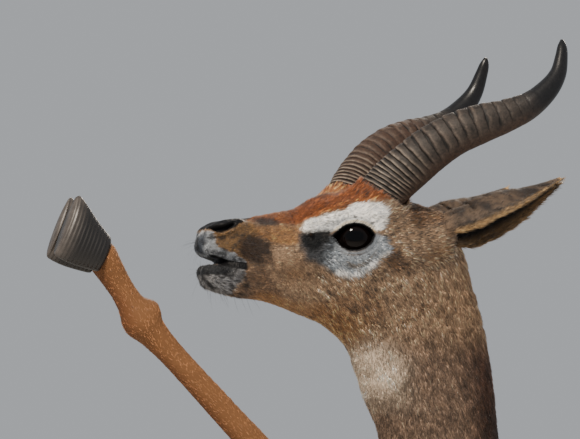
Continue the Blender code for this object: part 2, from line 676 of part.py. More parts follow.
def gland_cut(side):
    bm = bmesh.new()
    centre = from_head(GLAND[0], side * -GLAND[1], GLAND[2])
    bmesh.ops.create_icosphere(bm, subdivisions=2, radius=GLAND_RADIUS * MM, matrix=Matrix.Translation(centre))
    return new_object("cutter", bm)


# Hooves. Each foot has two claws. Millimetres: height above the sole, how far the ring reaches
# back and forward of the coronet's middle, and its half width
HOOF_HEIGHT = 41.0
CLAW = [(0.0, -17.5, 34, 7.2), (2.5, -19, 36, 8.2), (13.0, -19.5, 30, 8.6), (27.0, -18, 22, 8.4),
        (HOOF_HEIGHT, -15.5, 15, 8.0)]
CLAW_GAP = 1.2
CLAW_SIDES = 12


def foot_turn(coronet, fetlock, extra=0.0):
    """How a foot is turned from standing, from the direction of its pastern."""
    way = Vector(coronet) - Vector(fetlock)
    stand = hind_point("coronet", 1) - hind_point("fetlock", 1)
    angle = math.atan2(way.z, way.x) - math.atan2(stand.z, stand.x)
    return Matrix.Rotation(-angle + math.radians(extra), 4, "Y")


def hooves(name, coronet, turn):
    place = Matrix.Translation(coronet) @ turn
    for side, label in ((-1, "left"), (1, "right")):
        bm = bmesh.new()
        sections = []
        for height, back, front, half in CLAW:
            ring = []
            for k in range(CLAW_SIDES):
                angle = 2 * math.pi * k / CLAW_SIDES
                reach, width = math.cos(angle), math.sin(angle)
                width *= 1 - 0.5 * max(0, reach) ** 3
                lean = half * width if width * side > 0 else 0.82 * half * width
                x = -(front + back) / 2 - (front - back) / 2 * reach
                y = side * (half + CLAW_GAP / 2) + lean
                ring.append(place @ (Vector((x, y, height - HOOF_HEIGHT - GAP / MM)) * MM))
            sections.append(ring)
        sweep(bm, sections)
        new_object(name + "_" + label, bm)


def hoof_cut(coronet, turn):
    place = Matrix.Translation(coronet) @ turn
    return box(place @ Vector((0, 0, -0.03)), turn @ Vector((0, 0, 1)), turn @ Vector((1, 0, 0)),
               (0.06, 0.07, 0.06))


def lock(bm, root, tip, wide, thick, bend):
    """A flat tapered lock of hair from root to tip, bowed by the bend vector."""
    root, tip, bend = Vector(root), Vector(tip), Vector(bend)
    along_it = (tip - root).normalized()
    flat = along_it.cross(bend).normalized()
    rise = flat.cross(along_it)
    sections = []
    for t, share in ((0, 0.75), (0.3, 1.0), (0.65, 0.8), (0.9, 0.38), (1.0, 0.10)):
        middle = root.lerp(tip, t) + bend * (4 * t * (1 - t))
        w, h = wide * share, thick * max(share, 0.25)
        sections.append([middle + flat * w, middle + rise * h, middle - flat * w, middle - rise * h])
    sweep(bm, sections)


TAIL_LINE = [
    (0.118, 0, 0.905, 0.022, 1.0), (0.162, 0, 0.886, 0.0165, 0.95), (0.191, 0, 0.838, 0.0130, 0.9),
    (0.197, 0, 0.765, 0.0105, 0.9), (0.200, 0, 0.690, 0.0090, 0.9), (0.199, 0, 0.640, 0.0085, 0.9)]
TUFT = 9                   # locks at the tail's end
TUFT_LONG = 0.105
KNEE_LOCKS = 5
KNEE_LONG = 0.038


def tail_locks():
    made = []
    for k in range(TUFT):
        turn = 2 * math.pi * k / TUFT
        out = Vector((math.cos(turn), math.sin(turn), 0))
        start = Vector((0.199, 0, 0.660 - 0.010 * (k % 3))) + out * 0.0035
        end = start + Vector((0.002, 0, -TUFT_LONG * (0.80 + 0.10 * (k % 3)))) + out * (0.010 - 0.003 * (k % 2))
        bm = bmesh.new()
        lock(bm, start, end, 0.0065, 0.0032, out * 0.007)
        made.append(new_object("lock", bm))
    return made


def knee_locks(leg):
    """Short black locks that hang from the front of the knee."""
    knee, fetlock, elbow = Vector(leg["knee"]), Vector(leg["fetlock"]), Vector(leg["elbow"])
    down = (fetlock - knee).normalized()
    front = (knee - elbow).normalized() - down
    front = (front - down * front.dot(down)).normalized()
    made = []
    for k in range(KNEE_LOCKS):
        turn = math.radians(24 * (k - (KNEE_LOCKS - 1) / 2))
        out = front * math.cos(turn) + Vector((0, math.sin(turn), 0))
        start = knee + out * 0.0125 - down * (0.004 * (k % 2)) + down * 0.012
        end = start + down * KNEE_LONG * (0.85 + 0.15 * (k % 2)) + out * 0.006
        bm = bmesh.new()
        lock(bm, start, end, 0.0052, 0.0026, out * 0.004)
        made.append(new_object("lock", bm))
    return made


def plinth(name):
    bm = bmesh.new()
    bmesh.ops.create_cube(bm, size=1, matrix=Matrix.Translation((0, 0, BASE_THICK / 2))
                          @ Matrix.Diagonal((BASE_LONG, BASE_WIDE, BASE_THICK, 1)))
    upright = [e for e in bm.edges if abs(e.verts[0].co.z - e.verts[1].co.z) > BASE_THICK / 2]
    bmesh.ops.bevel(bm, geom=upright, offset=BASE_ROUND, segments=6, profile=0.5, affect="EDGES", material=-1)
    top = [e for e in bm.edges if min(v.co.z for v in e.verts) > BASE_THICK - 1e-5]
    bmesh.ops.bevel(bm, geom=top, offset=BASE_BEVEL, segments=3, profile=0.5, affect="EDGES", material=-1)
    return new_object(name, bm)


def material(name, colour, roughness):
    made = bpy.data.materials.new(name)
    made.use_nodes = True
    shader = made.node_tree.nodes["Principled BSDF"]
    shader.inputs["Base Color"].default_value = colour
    shader.inputs["Roughness"].default_value = roughness
    made.diffuse_color = colour
    return made


def finish(obj, name, colour, roughness=0.8):
    obj.name = name
    obj.data.name = name
    obj.data.materials.clear()
    obj.data.materials.append(material(name, colour, roughness))


# Where the head is parted from the neck, and the neck from the trunk
NAPE = (Vector((HEAD_X + 0.078, 0, EYE_HEIGHT - 0.155)), Vector((0.06, 0, -1)).normalized())
NAPE_REACH = 0.14
ARM_CUT = -0.179           # where the forelegs are parted from the trunk, in X
COLLAR = (Vector((-0.050, 0, 1.484)), Vector((0.10, 0, -1)).normalized())


def clear_scene():
    for obj in list(bpy.data.objects):
        bpy.data.objects.remove(obj)


def body_nodes():
    """The neck, trunk, tail and legs: one skin parted by thin cuts."""
    tubes = (both_sides(NECK_TUBES, MM, HEAD) + both_sides(TRUNK_TUBES) + fore_tubes(LEFT_FORE)
             + fore_tubes(RIGHT_FORE) + hind_tubes(-1) + hind_tubes(1) + [(0.012, TAIL_LINE)])
    body = flesh("body", tubes, BODY_VOXEL, BODY_TRIANGLES,
                 (NAPE[0], -NAPE[1], NAPE_REACH))
    cutters = [slab(COLLAR[0], COLLAR[1], 0.27, 0.32)]
    named = {
        "neck": HEAD + Vector((0.10, 0, -0.28)), "torso": Vector((0, 0, 1.2)), "tail": Vector((0.200, 0, 0.72))}
    for side, leg, label in ((-1, LEFT_FORE, "left"), (1, RIGHT_FORE, "right")):
        shoulder, elbow, knee, fetlock = (Vector(leg[n]) for n in ("shoulder", "elbow", "knee", "fetlock"))
        share = (ARM_CUT - shoulder.x) / (elbow.x - shoulder.x)
        cutters.append(slab(shoulder.lerp(elbow, share) + Vector((0, 0, -0.010)), (-1, 0, -0.10), 0.20, 0.13))
        bend = (knee - elbow).normalized() + (fetlock - knee).normalized()
        cutters.append(slab(knee, bend, 0.14, 0.08))
        turn = foot_turn(leg["coronet"], leg["fetlock"])
        cutters.append(hoof_cut(leg["coronet"], turn))
        hooves("hoof_fore_" + label, Vector(leg["coronet"]), turn)
        named["foreleg_upper_" + label] = elbow.lerp(knee, 0.4)
        named["foreleg_lower_" + label] = knee.lerp(fetlock, 0.5)
        hock, stifle = hind_point("hock", side), hind_point("stifle", side)
        cutters.append(slab(hock + Vector((0.008, 0, -0.006)), (0.10, 0, 1), 0.10, 0.07))
        coronet = hind_point("coronet", side)
        cutters.append(hoof_cut(coronet, Matrix.Identity(4)))
        hooves("hoof_hind_" + label, coronet, Matrix.Identity(4))
        named["hindleg_upper_" + label] = stifle
        named["hindleg_lower_" + label] = hock.lerp(hind_point("fetlock", side), 0.5)
    cutters.append(slab(Vector((0.030, 0, 0.712)), (0, 0, 1), 0.288, 0.34))
    cutters.append(slab(Vector((0.1968, 0, 0.776)), (0.05, 0, -1), 0.031, 0.05))
    boolean(body, cutters, "DIFFERENCE")
    found = {}
    for piece in islands(body):
        corners = [Vector(corner) for corner in piece.bound_box]
        middle = sum(corners, Vector()) / 8
        name = min(named, key=lambda n: (middle - named[n]).length)
        found.setdefault(name, []).append(piece)
    for name, pieces in found.items():
        pieces.sort(key=lambda piece: -len(piece.data.vertices))
        for extra in pieces[1:]:
            bpy.data.objects.remove(extra)
        pieces[0].name = name
    return {name: pieces[0] for name, pieces in found.items()}


def main():
    clear_scene()
    head = flesh("head", both_sides(HEAD_TUBES, MM, HEAD) + both_sides(NECK_TUBES, MM, HEAD),
                 HEAD_VOXEL, HEAD_TRIANGLES, (*NAPE, 1.0))
    cutters = []
    for side in (-1, 1):
        cutters += [seat_cut(side), ear_socket(side), lid_opening(side), eye("cutter", side, GAP / MM)]
        cutters += [nostril_cut(side), gland_cut(side)]
    for cutter in cutters:
        boolean(head, [cutter], "DIFFERENCE")
    head = max(islands(head), key=lambda piece: len(piece.data.vertices))
    finish(head, "head", RUST)
    nodes = body_nodes()
    boolean(nodes["tail"], tail_locks(), "UNION")
    for label, leg in (("left", LEFT_FORE), ("right", RIGHT_FORE)):
        boolean(nodes["foreleg_lower_" + label], knee_locks(leg), "UNION")
    for name, node in nodes.items():
        finish(node, name, TAN)
    for side, label in ((-1, "left"), (1, "right")):
        finish(horn("horn_" + label, side), "horn_" + label, HORN, 0.6)
        finish(ear("ear_" + label, side), "ear_" + label, EAR)
        finish(eye("eye_" + label, side), "eye_" + label, BLACK, 0.1)
    for obj in bpy.data.objects:
        if obj.name.startswith("hoof_"):
            finish(obj, obj.name, BLACK, 0.4)
    finish(plinth("stand_base"), "stand_base", WOOD, 0.6)


if __name__ == "__main__":
    main()
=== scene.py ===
# Gerenuk, male, up on its hind legs: skin, coat, eyes, horns, ears, hooves, base, light and camera.
# Metres, +Z up, the animal faces -X and its left side faces -Y.

import math

import bmesh
import bpy
import numpy as np
from mathutils import Matrix, Vector


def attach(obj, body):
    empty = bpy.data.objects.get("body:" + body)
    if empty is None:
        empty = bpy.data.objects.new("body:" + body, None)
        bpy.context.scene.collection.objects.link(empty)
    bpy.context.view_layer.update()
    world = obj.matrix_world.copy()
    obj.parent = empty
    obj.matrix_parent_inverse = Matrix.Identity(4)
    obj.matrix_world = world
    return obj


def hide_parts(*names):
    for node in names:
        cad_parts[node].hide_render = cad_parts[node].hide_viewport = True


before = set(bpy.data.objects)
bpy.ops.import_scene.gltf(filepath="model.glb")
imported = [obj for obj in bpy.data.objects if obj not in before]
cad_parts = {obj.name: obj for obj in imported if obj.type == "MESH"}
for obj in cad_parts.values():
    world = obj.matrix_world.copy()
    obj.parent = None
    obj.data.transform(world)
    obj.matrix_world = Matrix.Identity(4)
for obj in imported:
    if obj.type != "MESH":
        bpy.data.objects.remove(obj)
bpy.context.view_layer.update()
print("frame loaded")

mm = 0.001
headPoint = Vector((-0.17, 0.0, 1.86))    # the head's reference point: midline, eye level


def linear(hexColour):
    # an sRGB hex value as linear red, green, blue
    parts = [int(hexColour[i:i + 2], 16) / 255 for i in (1, 3, 5)]
    return np.array([p / 12.92 if p <= 0.04045 else ((p + 0.055) / 1.055) ** 2.4 for p in parts])


# Camera and light
cameraSetup = {
    "azimuth": -25,
    "elevation": -5,
    "distance": 4.5,
    "frame": (580, 439),      # pixels
    "pixel": 0.00086,         # metres across one pixel at the head
    "headAt": (356, 237),     # where the head's reference point falls in the frame
    "sensor": 36,             # mm
}
lightSetup = {
    "world": ("#dfe3e8", 0.55),
    "key": ((-2.3, -2.5, 4.7), 0.7, 262, "#fff3e2"),      # place, size, watts, colour
    "fill": ((2.6, -3.0, 1.9), 2.4, 14, "#e8eefc"),
    "rim": ((1.9, 2.4, 3.4), 1.4, 70, "#fff1e0"),
    "front": ((-3.4, -0.4, 1.7), 1.8, 10, "#e6edff"),
    "floor": ("#d9d6d0", 7.0),
    "aim": (-0.15, 0, 1.75),
}


def placeCamera():
    s = cameraSetup
    a, e = math.radians(s["azimuth"]), math.radians(s["elevation"])
    back = Vector((math.sin(a) * math.cos(e), -math.cos(a) * math.cos(e), math.sin(e)))
    right = Vector((math.cos(a), math.sin(a), 0))
    up = right.cross(-back)
    wide, high = s["frame"]
    middle = headPoint + right * ((wide / 2 - s["headAt"][0]) * s["pixel"])
    middle -= up * ((high / 2 - s["headAt"][1]) * s["pixel"])
    data = bpy.data.cameras.new("camera")
    data.sensor_width = s["sensor"]
    data.lens = s["sensor"] * s["distance"] / (wide * s["pixel"])
    data.clip_end = 50
    camera = bpy.data.objects.new("camera", data)
    bpy.context.scene.collection.objects.link(camera)
    turn = Matrix((right, up, back)).transposed().to_4x4()
    camera.matrix_world = Matrix.Translation(middle + back * s["distance"]) @ turn
    bpy.context.scene.camera = camera


def placeLights():
    colour, strength = lightSetup["world"]
    world = bpy.data.worlds.new("studio")
    world.use_nodes = True
    world.node_tree.nodes["Background"].inputs["Color"].default_value = (*linear(colour), 1)
    world.node_tree.nodes["Background"].inputs["Strength"].default_value = strength
    bpy.context.scene.world = world
    for name in ("key", "fill", "rim", "front"):
        place, size, watts, colour = lightSetup[name]
        data = bpy.data.lights.new(name, "AREA")
        data.size = size
        data.energy = watts
        data.color = linear(colour)
        light = bpy.data.objects.new(name, data)
        light.visible_glossy = name in ("key", "rim")     # one small highlight in the eye
        bpy.context.scene.collection.objects.link(light)
        aim = Vector(lightSetup["aim"]) - Vector(place)
        light.matrix_world = Matrix.Translation(place) @ aim.to_track_quat("-Z", "Y").to_matrix().to_4x4()
    bm = bmesh.new()
    bmesh.ops.create_grid(bm, x_segments=1, y_segments=1, size=lightSetup["floor"][1])
    floor = newObject("floor", bm)
    floor.data.materials.append(floorMaterial())


# Small helpers for meshes and materials
def newObject(name, bm):
    mesh = bpy.data.meshes.new(name)
    bm.to_mesh(mesh)
    bm.free()
    obj = bpy.data.objects.new(name, mesh)
    bpy.context.scene.collection.objects.link(obj)
    return obj


def applied(obj):
    # the object with its modifiers applied
    bpy.context.view_layer.update()
    graph = bpy.context.evaluated_depsgraph_get()
    mesh = bpy.data.meshes.new_from_object(obj.evaluated_get(graph))
    obj.modifiers.clear()
    obj.data = mesh
    return obj


def smoothShade(obj):
    obj.data.polygons.foreach_set("use_smooth", np.ones(len(obj.data.polygons), bool))


def vertexPlaces(mesh):
    found = np.empty(len(mesh.vertices) * 3, np.float32)
    mesh.vertices.foreach_get("co", found)
    return found.reshape(-1, 3).astype(float)


def vertexNormals(mesh):
    found = np.empty(len(mesh.vertices) * 3, np.float32)
    mesh.vertex_normals.foreach_get("vector", found)
    return found.reshape(-1, 3).astype(float)


def moveVertices(mesh, places):
    mesh.vertices.foreach_set("co", places.astype(np.float32).ravel())
    mesh.update()


def paint(mesh, colours):
    # one linear colour for each vertex
    layer = mesh.color_attributes.new("marks", "FLOAT_COLOR", "POINT")
    rgba = np.ones((len(mesh.vertices), 4), np.float32)
    rgba[:, :3] = colours
    layer.data.foreach_set("color", rgba.ravel())


def blankMaterial(name):
    made = bpy.data.materials.new(name)
    made.use_nodes = True
    made.node_tree.nodes.clear()
    return made


def addNode(tree, kind, settings=None, **links):
    # a node with its settings; a link's value is a number, a colour or another node's output
    node = tree.nodes.new(kind)
    for key, value in (settings or {}).items():
        setattr(node, key, value)
    for key, value in links.items():
        name = key.replace("_", " ")
        socket = node.inputs[int(name[3:])] if name.startswith("nr ") else node.inputs[name]
        if isinstance(value, bpy.types.NodeSocket):
            tree.links.new(value, socket)
        else:
            socket.default_value = value
    return node


def finishMaterial(tree, shader):
    addNode(tree, "ShaderNodeOutputMaterial", Surface=shader.outputs[0])


def cloud(points, size, seed):
    # smooth value noise from -1 to 1, one value for each point, with lumps about size metres across
    q = points / size + seed * 17.31
    cell = np.floor(q).astype(np.int64)
    part = q - cell
    part = part * part * (3 - 2 * part)
    total = np.zeros(len(points))
    for dx in (0, 1):
        for dy in (0, 1):
            for dz in (0, 1):
                # each corner of the cell gets its own value, shuffled out of its whole coordinates
                shuffled = (cell[:, 0] + dx) * 73856093
                shuffled ^= (cell[:, 1] + dy) * 19349663
                shuffled ^= (cell[:, 2] + dz) * 83492791
                shuffled = (shuffled ^ (shuffled >> 13)) * 1274126177 & 0x7fffffff
                value = (shuffled ^ (shuffled >> 16)) % 65536 / 32767.5 - 1
                share = np.where(dx, part[:, 0], 1 - part[:, 0])
                share = share * np.where(dy, part[:, 1], 1 - part[:, 1])
                total += value * share * np.where(dz, part[:, 2], 1 - part[:, 2])
    return total


def ramp(values, low, high):
    # 0 below low, 1 above high, smooth between; low may be the larger
    t = np.clip((values - low) / (high - low), 0, 1)
    return t * t * (3 - 2 * t)


# The flesh: tubes through stations of x, y, z, half depth and width ratio, after how softly a tube
# blends in and whether it is sided, which means made twice. Head and neck are in mm from the head's
# point, the rest in metres. The solids are drawn from the same tubes
headTubes = {
    "muzzle": (7, False, [
        (-134, 0, -8, 13.5, 1.05), (-120, 0, -6.5, 17, 1.02), (-100, 0, -6, 19.5, 0.95),
        (-75, 0, -4, 22.5, 0.90), (-50, 0, -2, 26, 0.95), (-25, 0, 3, 31, 1.12)]),
    "jaw": (7, False, [
        (-138, 0, -41, 8.0, 1.45), (-126, 0, -42, 10.5, 1.3), (-108, 0, -42, 13.5, 1.15),
        (-80, 0, -44.5, 15, 1.1), (-50, 0, -50, 18.6, 1.0), (-20, 0, -54, 23, 1.0),
        (6, 0, -59, 27, 1.0)]),
    "insideMouth": (6, False, [
        (-124, 0, -29, 9, 1.1), (-109, 0, -28, 13, 1.42), (-88, 0, -27, 16, 1.25),
        (-50, 0, -28, 22, 1.05), (-15, 0, -30, 30, 1.0)]),
    "braincase": (10, False, [
        (-25, 0, 3, 31, 1.12), (0, 0, 1, 37, 1.1), (28, 0, -3, 37, 1.08),
        (52, 0, -10, 34, 1.05), (68, 0, -17, 28, 1.0)]),
    "brow": (12, True, [
        (-46, 20, 8, 13, 1.0), (-30, 28, 14, 15, 1.0), (-12, 30, 22, 18, 0.95),
        (4, 31, 28, 21, 0.92)]),
    "orbit": (10, True, [
        (-46, 20, -4, 17, 0.9), (-22, 27, 0, 21, 0.80), (2, 31, 0, 19, 0.80)]),
    "lids": (5, True, [(-17, 27, -4, 22.3, 1.0), (-15, 27.5, -4, 22.3, 1.0)]),
    "temple": (12, True, [(2, 30, 6, 22, 0.8), (30, 26, 6, 24, 0.8), (52, 26, 2, 22, 0.8)]),
    "cheekbone": (14, True, [
        (-66, 13, -18, 12, 1.0), (-35, 26, -22, 13, 0.9), (-5, 33, -22, 13, 0.9),
        (25, 33, -14, 13, 0.9), (45, 28, -8, 12, 1.0)]),
    "cheek": (16, True, [
        (-34, 14, -42, 20, 0.8), (0, 18, -44, 30, 0.75), (26, 20, -46, 32, 0.7)]),
    "nose": (5, True, [
        (-139, 7, -3, 7, 1.0), (-130, 10.5, 1, 8.5, 0.95), (-117, 11, 4, 7.5, 0.9)]),
    "upperLip": (7, True, [
        (-141, 5.5, -14, 8, 1.0), (-131, 11.5, -16, 8.5, 0.95), (-114, 14, -19, 8, 0.85),
        (-96, 13, -22, 8, 0.8)]),
    "lowerLip": (5, True, [
        (-141, 5.5, -35, 6.5, 1.0), (-130, 11, -34.5, 6.5, 0.9), (-114, 13.5, -34, 6.5, 0.9),
        (-98, 12.5, -34, 8, 0.8)]),
    "hornRoot": (9, True, [(0, 29.5, 24, 21.5, 0.95), (9, 32, 36, 22, 0.92)]),
    "earRoot": (12, True, [(36, 24, -2, 18, 1.0), (50, 31, -0.5, 18.3, 1.0), (60, 35.3, 1.8, 17, 1.0)]),
    "throat": (16, False, [
        (0, 0, -62, 24, 1.0), (28, 0, -80, 37, 0.84), (50, 0, -104, 47, 0.80)]),
}
neckTubes = {
    "neck": (20, False, [
        (62, 0, -22, 30, 0.95), (66, 0, -50, 43, 0.82), (66, 0, -92, 55, 0.79),
        (74, 0, -140, 55, 0.80), (80, 0, -175, 52.5, 0.81), (92, 0, -240, 53, 0.80),
        (105, 0, -310, 59, 0.79), (116, 0, -370, 72, 0.78), (122, 0, -430, 92, 0.76),
        (126, 0, -480, 112, 0.74)]),
}
trunkTubes = {
    "trunk": (0.035, False, [
        (-0.040, 0, 1.395, 0.105, 0.76), (-0.034, 0, 1.330, 0.127, 0.73),
        (-0.014, 0, 1.230, 0.137, 0.73), (0.010, 0, 1.130, 0.133, 0.77),
        (0.030, 0, 1.040, 0.120, 0.84), (0.048, 0, 0.960, 0.106, 0.86),
        (0.064, 0, 0.895, 0.100, 0.86), (0.078, 0, 0.835, 0.085, 0.90)]),
    "withers": (0.03, False, [
        (0.010, 0, 1.440, 0.050, 0.5), (0.052, 0, 1.395, 0.042, 0.55), (0.082, 0, 1.330, 0.036, 0.7)]),
    "croup": (0.03, False, [
        (0.110, 0, 0.980, 0.045, 0.9), (0.130, 0, 0.900, 0.045, 1.0), (0.128, 0, 0.845, 0.034, 0.9)]),
    "shoulder": (0.028, True, [
        (0.035, 0.050, 1.400, 0.056, 0.55), (-0.040, 0.070, 1.400, 0.066, 0.5),
        (-0.100, 0.080, 1.388, 0.056, 0.55)]),
}
leftFore = {
    "shoulder": (-0.100, -0.082, 1.385), "elbow": (-0.258, -0.088, 1.376),
    "knee": (-0.2394, -0.085, 1.612), "fetlock": (-0.408, -0.085, 1.776),
    "coronet": (-0.4440, -0.085, 1.8285)}
rightFore = {
    "shoulder": (-0.100, 0.082, 1.385), "elbow": (-0.232, 0.090, 1.292),
    "knee": (-0.372, 0.088, 1.480), "fetlock": (-0.450, 0.084, 1.260),
    "coronet": (-0.4435, 0.082, 1.1975)}
hind = {
    "hip": (0.068, 0.050, 0.820), "stifle": (-0.030, 0.078, 0.640), "hock": (0.082, 0.080, 0.384),
    "fetlock": (0.038, 0.080, 0.124), "coronet": (0.002, 0.080, 0.0715)}
hindStep, hipHeight = 0.020, 0.82
foreShape = {
    "arm": [(0.0, 0.058, 0.55), (0.45, 0.050, 0.62), (0.8, 0.040, 0.72), (1.0, 0.034, 0.75)],
    "forearm": [(0.0, 0.032, 0.76), (0.14, 0.0335, 0.76), (0.38, 0.0265, 0.80), (0.66, 0.0185, 0.86),
                (0.88, 0.0170, 0.95), (1.0, 0.0190, 0.92)],
    "cannon": [(0.0, 0.0195, 0.90), (0.10, 0.0175, 0.85), (0.26, 0.0150, 0.76), (0.55, 0.0138, 0.76),
               (0.82, 0.0128, 0.84), (0.94, 0.0145, 0.90), (1.0, 0.0165, 0.90)],
    "pastern": [(0.0, 0.0160, 0.92), (0.45, 0.0120, 1.02), (1.0, 0.0148, 1.15)],
}
hindShape = {
    "thigh": [(0.0, 0.088, 0.58), (0.35, 0.090, 0.56), (0.7, 0.066, 0.60), (1.0, 0.046, 0.68)],
    "gaskin": [(0.0, 0.046, 0.68), (0.2, 0.043, 0.66), (0.45, 0.031, 0.72), (0.72, 0.0200, 0.80),
               (0.9, 0.0185, 0.85), (1.0, 0.0215, 0.76)],
    "cannon": [(0.0, 0.0220, 0.74), (0.10, 0.0185, 0.76), (0.26, 0.0155, 0.76), (0.55, 0.0142, 0.76),
               (0.82, 0.0135, 0.84), (0.94, 0.0155, 0.88), (1.0, 0.0170, 0.90)],
    "pastern": [(0.0, 0.0165, 0.92), (0.45, 0.0128, 1.02), (1.0, 0.0155, 1.15)],
}
tailLine = [
    (0.118, 0, 0.905, 0.022, 1.0), (0.162, 0, 0.886, 0.0165, 0.95), (0.191, 0, 0.838, 0.0130, 0.9),
    (0.197, 0, 0.765, 0.0105, 0.9), (0.200, 0, 0.690, 0.0090, 0.9), (0.199, 0, 0.640, 0.0085, 0.9)]


def spline(stations, spacing):
    # stations along a smooth curve through the given ones, closer than spacing half depths
    points = np.array(stations, float)
    ends = np.vstack([2 * points[0] - points[1], points, 2 * points[-1] - points[-2]])
    run = []
    for i in range(1, len(ends) - 2):
        a, b, c, d = ends[i - 1:i + 3]
        length = np.linalg.norm((c - b)[:3])
        steps = max(1, math.ceil(length / (spacing * min(b[3], c[3]))))
        for t in np.arange(steps) / steps:
            run.append(0.5 * (2 * b + (c - a) * t + (2 * a - 5 * b + 4 * c - d) * t ** 2
                              + (3 * b - a - 3 * c + d) * t ** 3))
    return np.array(run + [points[-1]])


def bothSides(tubes, scale=1.0, origin=Vector()):
    made = []
    for blend, sided, stations in tubes.values():
        for side in ((1, -1) if sided else (1,)):
            made.append((blend * scale, [
                (origin.x + x * scale, origin.y + side * y * scale, origin.z + z * scale,
                 depth * scale, ratio)
                for x, y, z, depth, ratio in stations]))
    return made


def bone(start, end, shape):
    start, end = Vector(start), Vector(end)
    return [(*start.lerp(end, share), depth, ratio) for share, depth, ratio in shape]


def foreTubes(leg):
    shoulder, elbow, knee, fetlock, coronet = (
        Vector(leg[n]) for n in ("shoulder", "elbow", "knee", "fetlock", "coronet"))
    back = (fetlock - knee).cross(Vector((0, 1, 0))).normalized()
    if back.dot(coronet - fetlock) > 0 and leg is leftFore:
        back = -back
    olecranon = elbow + (elbow - knee).normalized() * 0.020 + (elbow - shoulder).normalized() * 0.006
    chest = shoulder + Vector((0.115, 0, -0.055))
    chest.y *= 0.75
    palm = -back if leg is leftFore else back
    return [
        (0.022, bone(shoulder, elbow, foreShape["arm"])),
        (0.020, [(*chest, 0.060, 0.45), (*chest.lerp(olecranon, 0.5), 0.046, 0.55),
                 (*chest.lerp(olecranon, 0.85), 0.028, 0.7), (*olecranon, 0.015, 0.8)]),
        (0.012, bone(elbow, knee, foreShape["forearm"])),
        (0.006, bone(knee, fetlock, foreShape["cannon"])),
        (0.006, bone(fetlock, coronet, foreShape["pastern"])),
        (0.008, [(*(fetlock + palm * 0.010), 0.0095, 1.1), (*(fetlock + palm * 0.0135), 0.0075, 1.3)]),
    ]


def hindPoint(name, side):
    x, y, z = hind[name]
    step = -hindStep if side < 0 else hindStep
    return Vector((x + step * max(0.0, 1 - z / hipHeight), side * y, z))


def hindTubes(side):
    hip, stifle, hock, fetlock, coronet = (
        hindPoint(n, side) for n in ("hip", "stifle", "hock", "fetlock", "coronet"))
    heel = hock + Vector((0.026, 0, 0.026))
    out = Vector((0, side, 0))
    buttock = Vector((0.128, side * 0.042, 0.800))
    return [
        (0.034, bone(hip, stifle + Vector((0.022, 0, 0)), hindShape["thigh"])),
        (0.020, [(*(stifle + Vector((0.010, 0, 0.060))), 0.040, 0.7), (*stifle, 0.030, 0.8),
                 (*(stifle + Vector((0.012, 0, -0.050))), 0.026, 0.8)]),
        (0.028, [(*buttock, 0.052, 0.72),
                 (*(buttock + Vector((-0.018, 0, -0.090)) + out * 0.018), 0.047, 0.70),
                 (*(buttock + Vector((-0.044, 0, -0.190)) + out * 0.032), 0.033, 0.70),
                 (*(buttock + Vector((-0.050, 0, -0.270)) + out * 0.036), 0.018, 0.8)]),
        (0.016, bone(stifle + Vector((0.018, 0, -0.006)), hock, hindShape["gaskin"])),
        (0.008, [(*(buttock + Vector((-0.050, 0, -0.250)) + out * 0.036), 0.012, 0.7),
                 (*hock.lerp(heel, 0.8).lerp(buttock, 0.22), 0.0085, 0.7), (*heel, 0.0105, 0.9)]),
        (0.008, [(*heel, 0.0105, 0.95), (*(hock + Vector((0.010, 0, -0.030))), 0.0125, 0.95)]),
        (0.016, [(*(stifle + Vector((0.070, 0, 0.075)) - out * 0.006), 0.062, 0.50),
                 (*(stifle + Vector((0.073, 0, -0.030))), 0.058, 0.50),
                 (*(stifle.lerp(hock, 0.41) + Vector((0.037, 0, 0))), 0.040, 0.48),
                 (*(stifle.lerp(hock, 0.625) + Vector((0.027, 0, 0))), 0.032, 0.36),
                 (*(stifle.lerp(hock, 0.80) + Vector((0.021, 0, 0))), 0.024, 0.32),
                 (*(hock + Vector((0.012, 0, 0.022))), 0.016, 0.5)]),
        (0.006, bone(hock, fetlock, hindShape["cannon"])),
        (0.006, bone(fetlock, coronet, hindShape["pastern"])),
        (0.008, [(*(fetlock + Vector((0.011, 0, 0.001))), 0.0100, 1.1),
                 (*(fetlock + Vector((0.0145, 0, -0.004))), 0.0075, 1.3)]),
    ]


def tubeField(points, stations):
    # how far points lie outside a tube, and the tube's direction at the nearest place
    run = spline(stations, 0.45)
    reach = 0.03
    low = (run[:, :3] - run[:, 3:4] * np.maximum(1, run[:, 4:5])).min(0) - reach
    high = (run[:, :3] + run[:, 3:4] * np.maximum(1, run[:, 4:5])).max(0) + reach
    near = np.nonzero(np.all((points > low) & (points < high), axis=1))[0]
    p = points[near]
    best = np.full(len(p), 1.0)
    which = np.zeros(len(p), int)
    for i, (a, b) in enumerate(zip(run[:-1], run[1:])):
        axis = b[:3] - a[:3]
        t = np.clip((p - a[:3]) @ axis / max(axis @ axis, 1e-12), 0, 1)
        off = p - a[:3] - t[:, None] * axis
        ratio = a[4] + t * (b[4] - a[4])
        radius = a[3] + t * (b[3] - a[3])
        away = np.sqrt(off[:, 0] ** 2 + off[:, 2] ** 2 + (off[:, 1] / ratio) ** 2)
        away = (away - radius) * np.minimum(1, ratio)
        closer = away < best
        best[closer] = away[closer]
        which[closer] = i
    ways = run[1:, :3] - run[:-1, :3]
    ways /= np.linalg.norm(ways, axis=1)[:, None]
    return near, best, ways[which]


def fleshField(points, tubes):
    # the smooth union of the tubes
    total = np.full(len(points), 1.0)
    for blend, stations in tubes:
        near, d, _ = tubeField(points, stations)
        h = np.maximum(blend - np.abs(total[near] - d), 0) / blend
        total[near] = np.minimum(total[near], d) - h * h * blend / 4
    return total


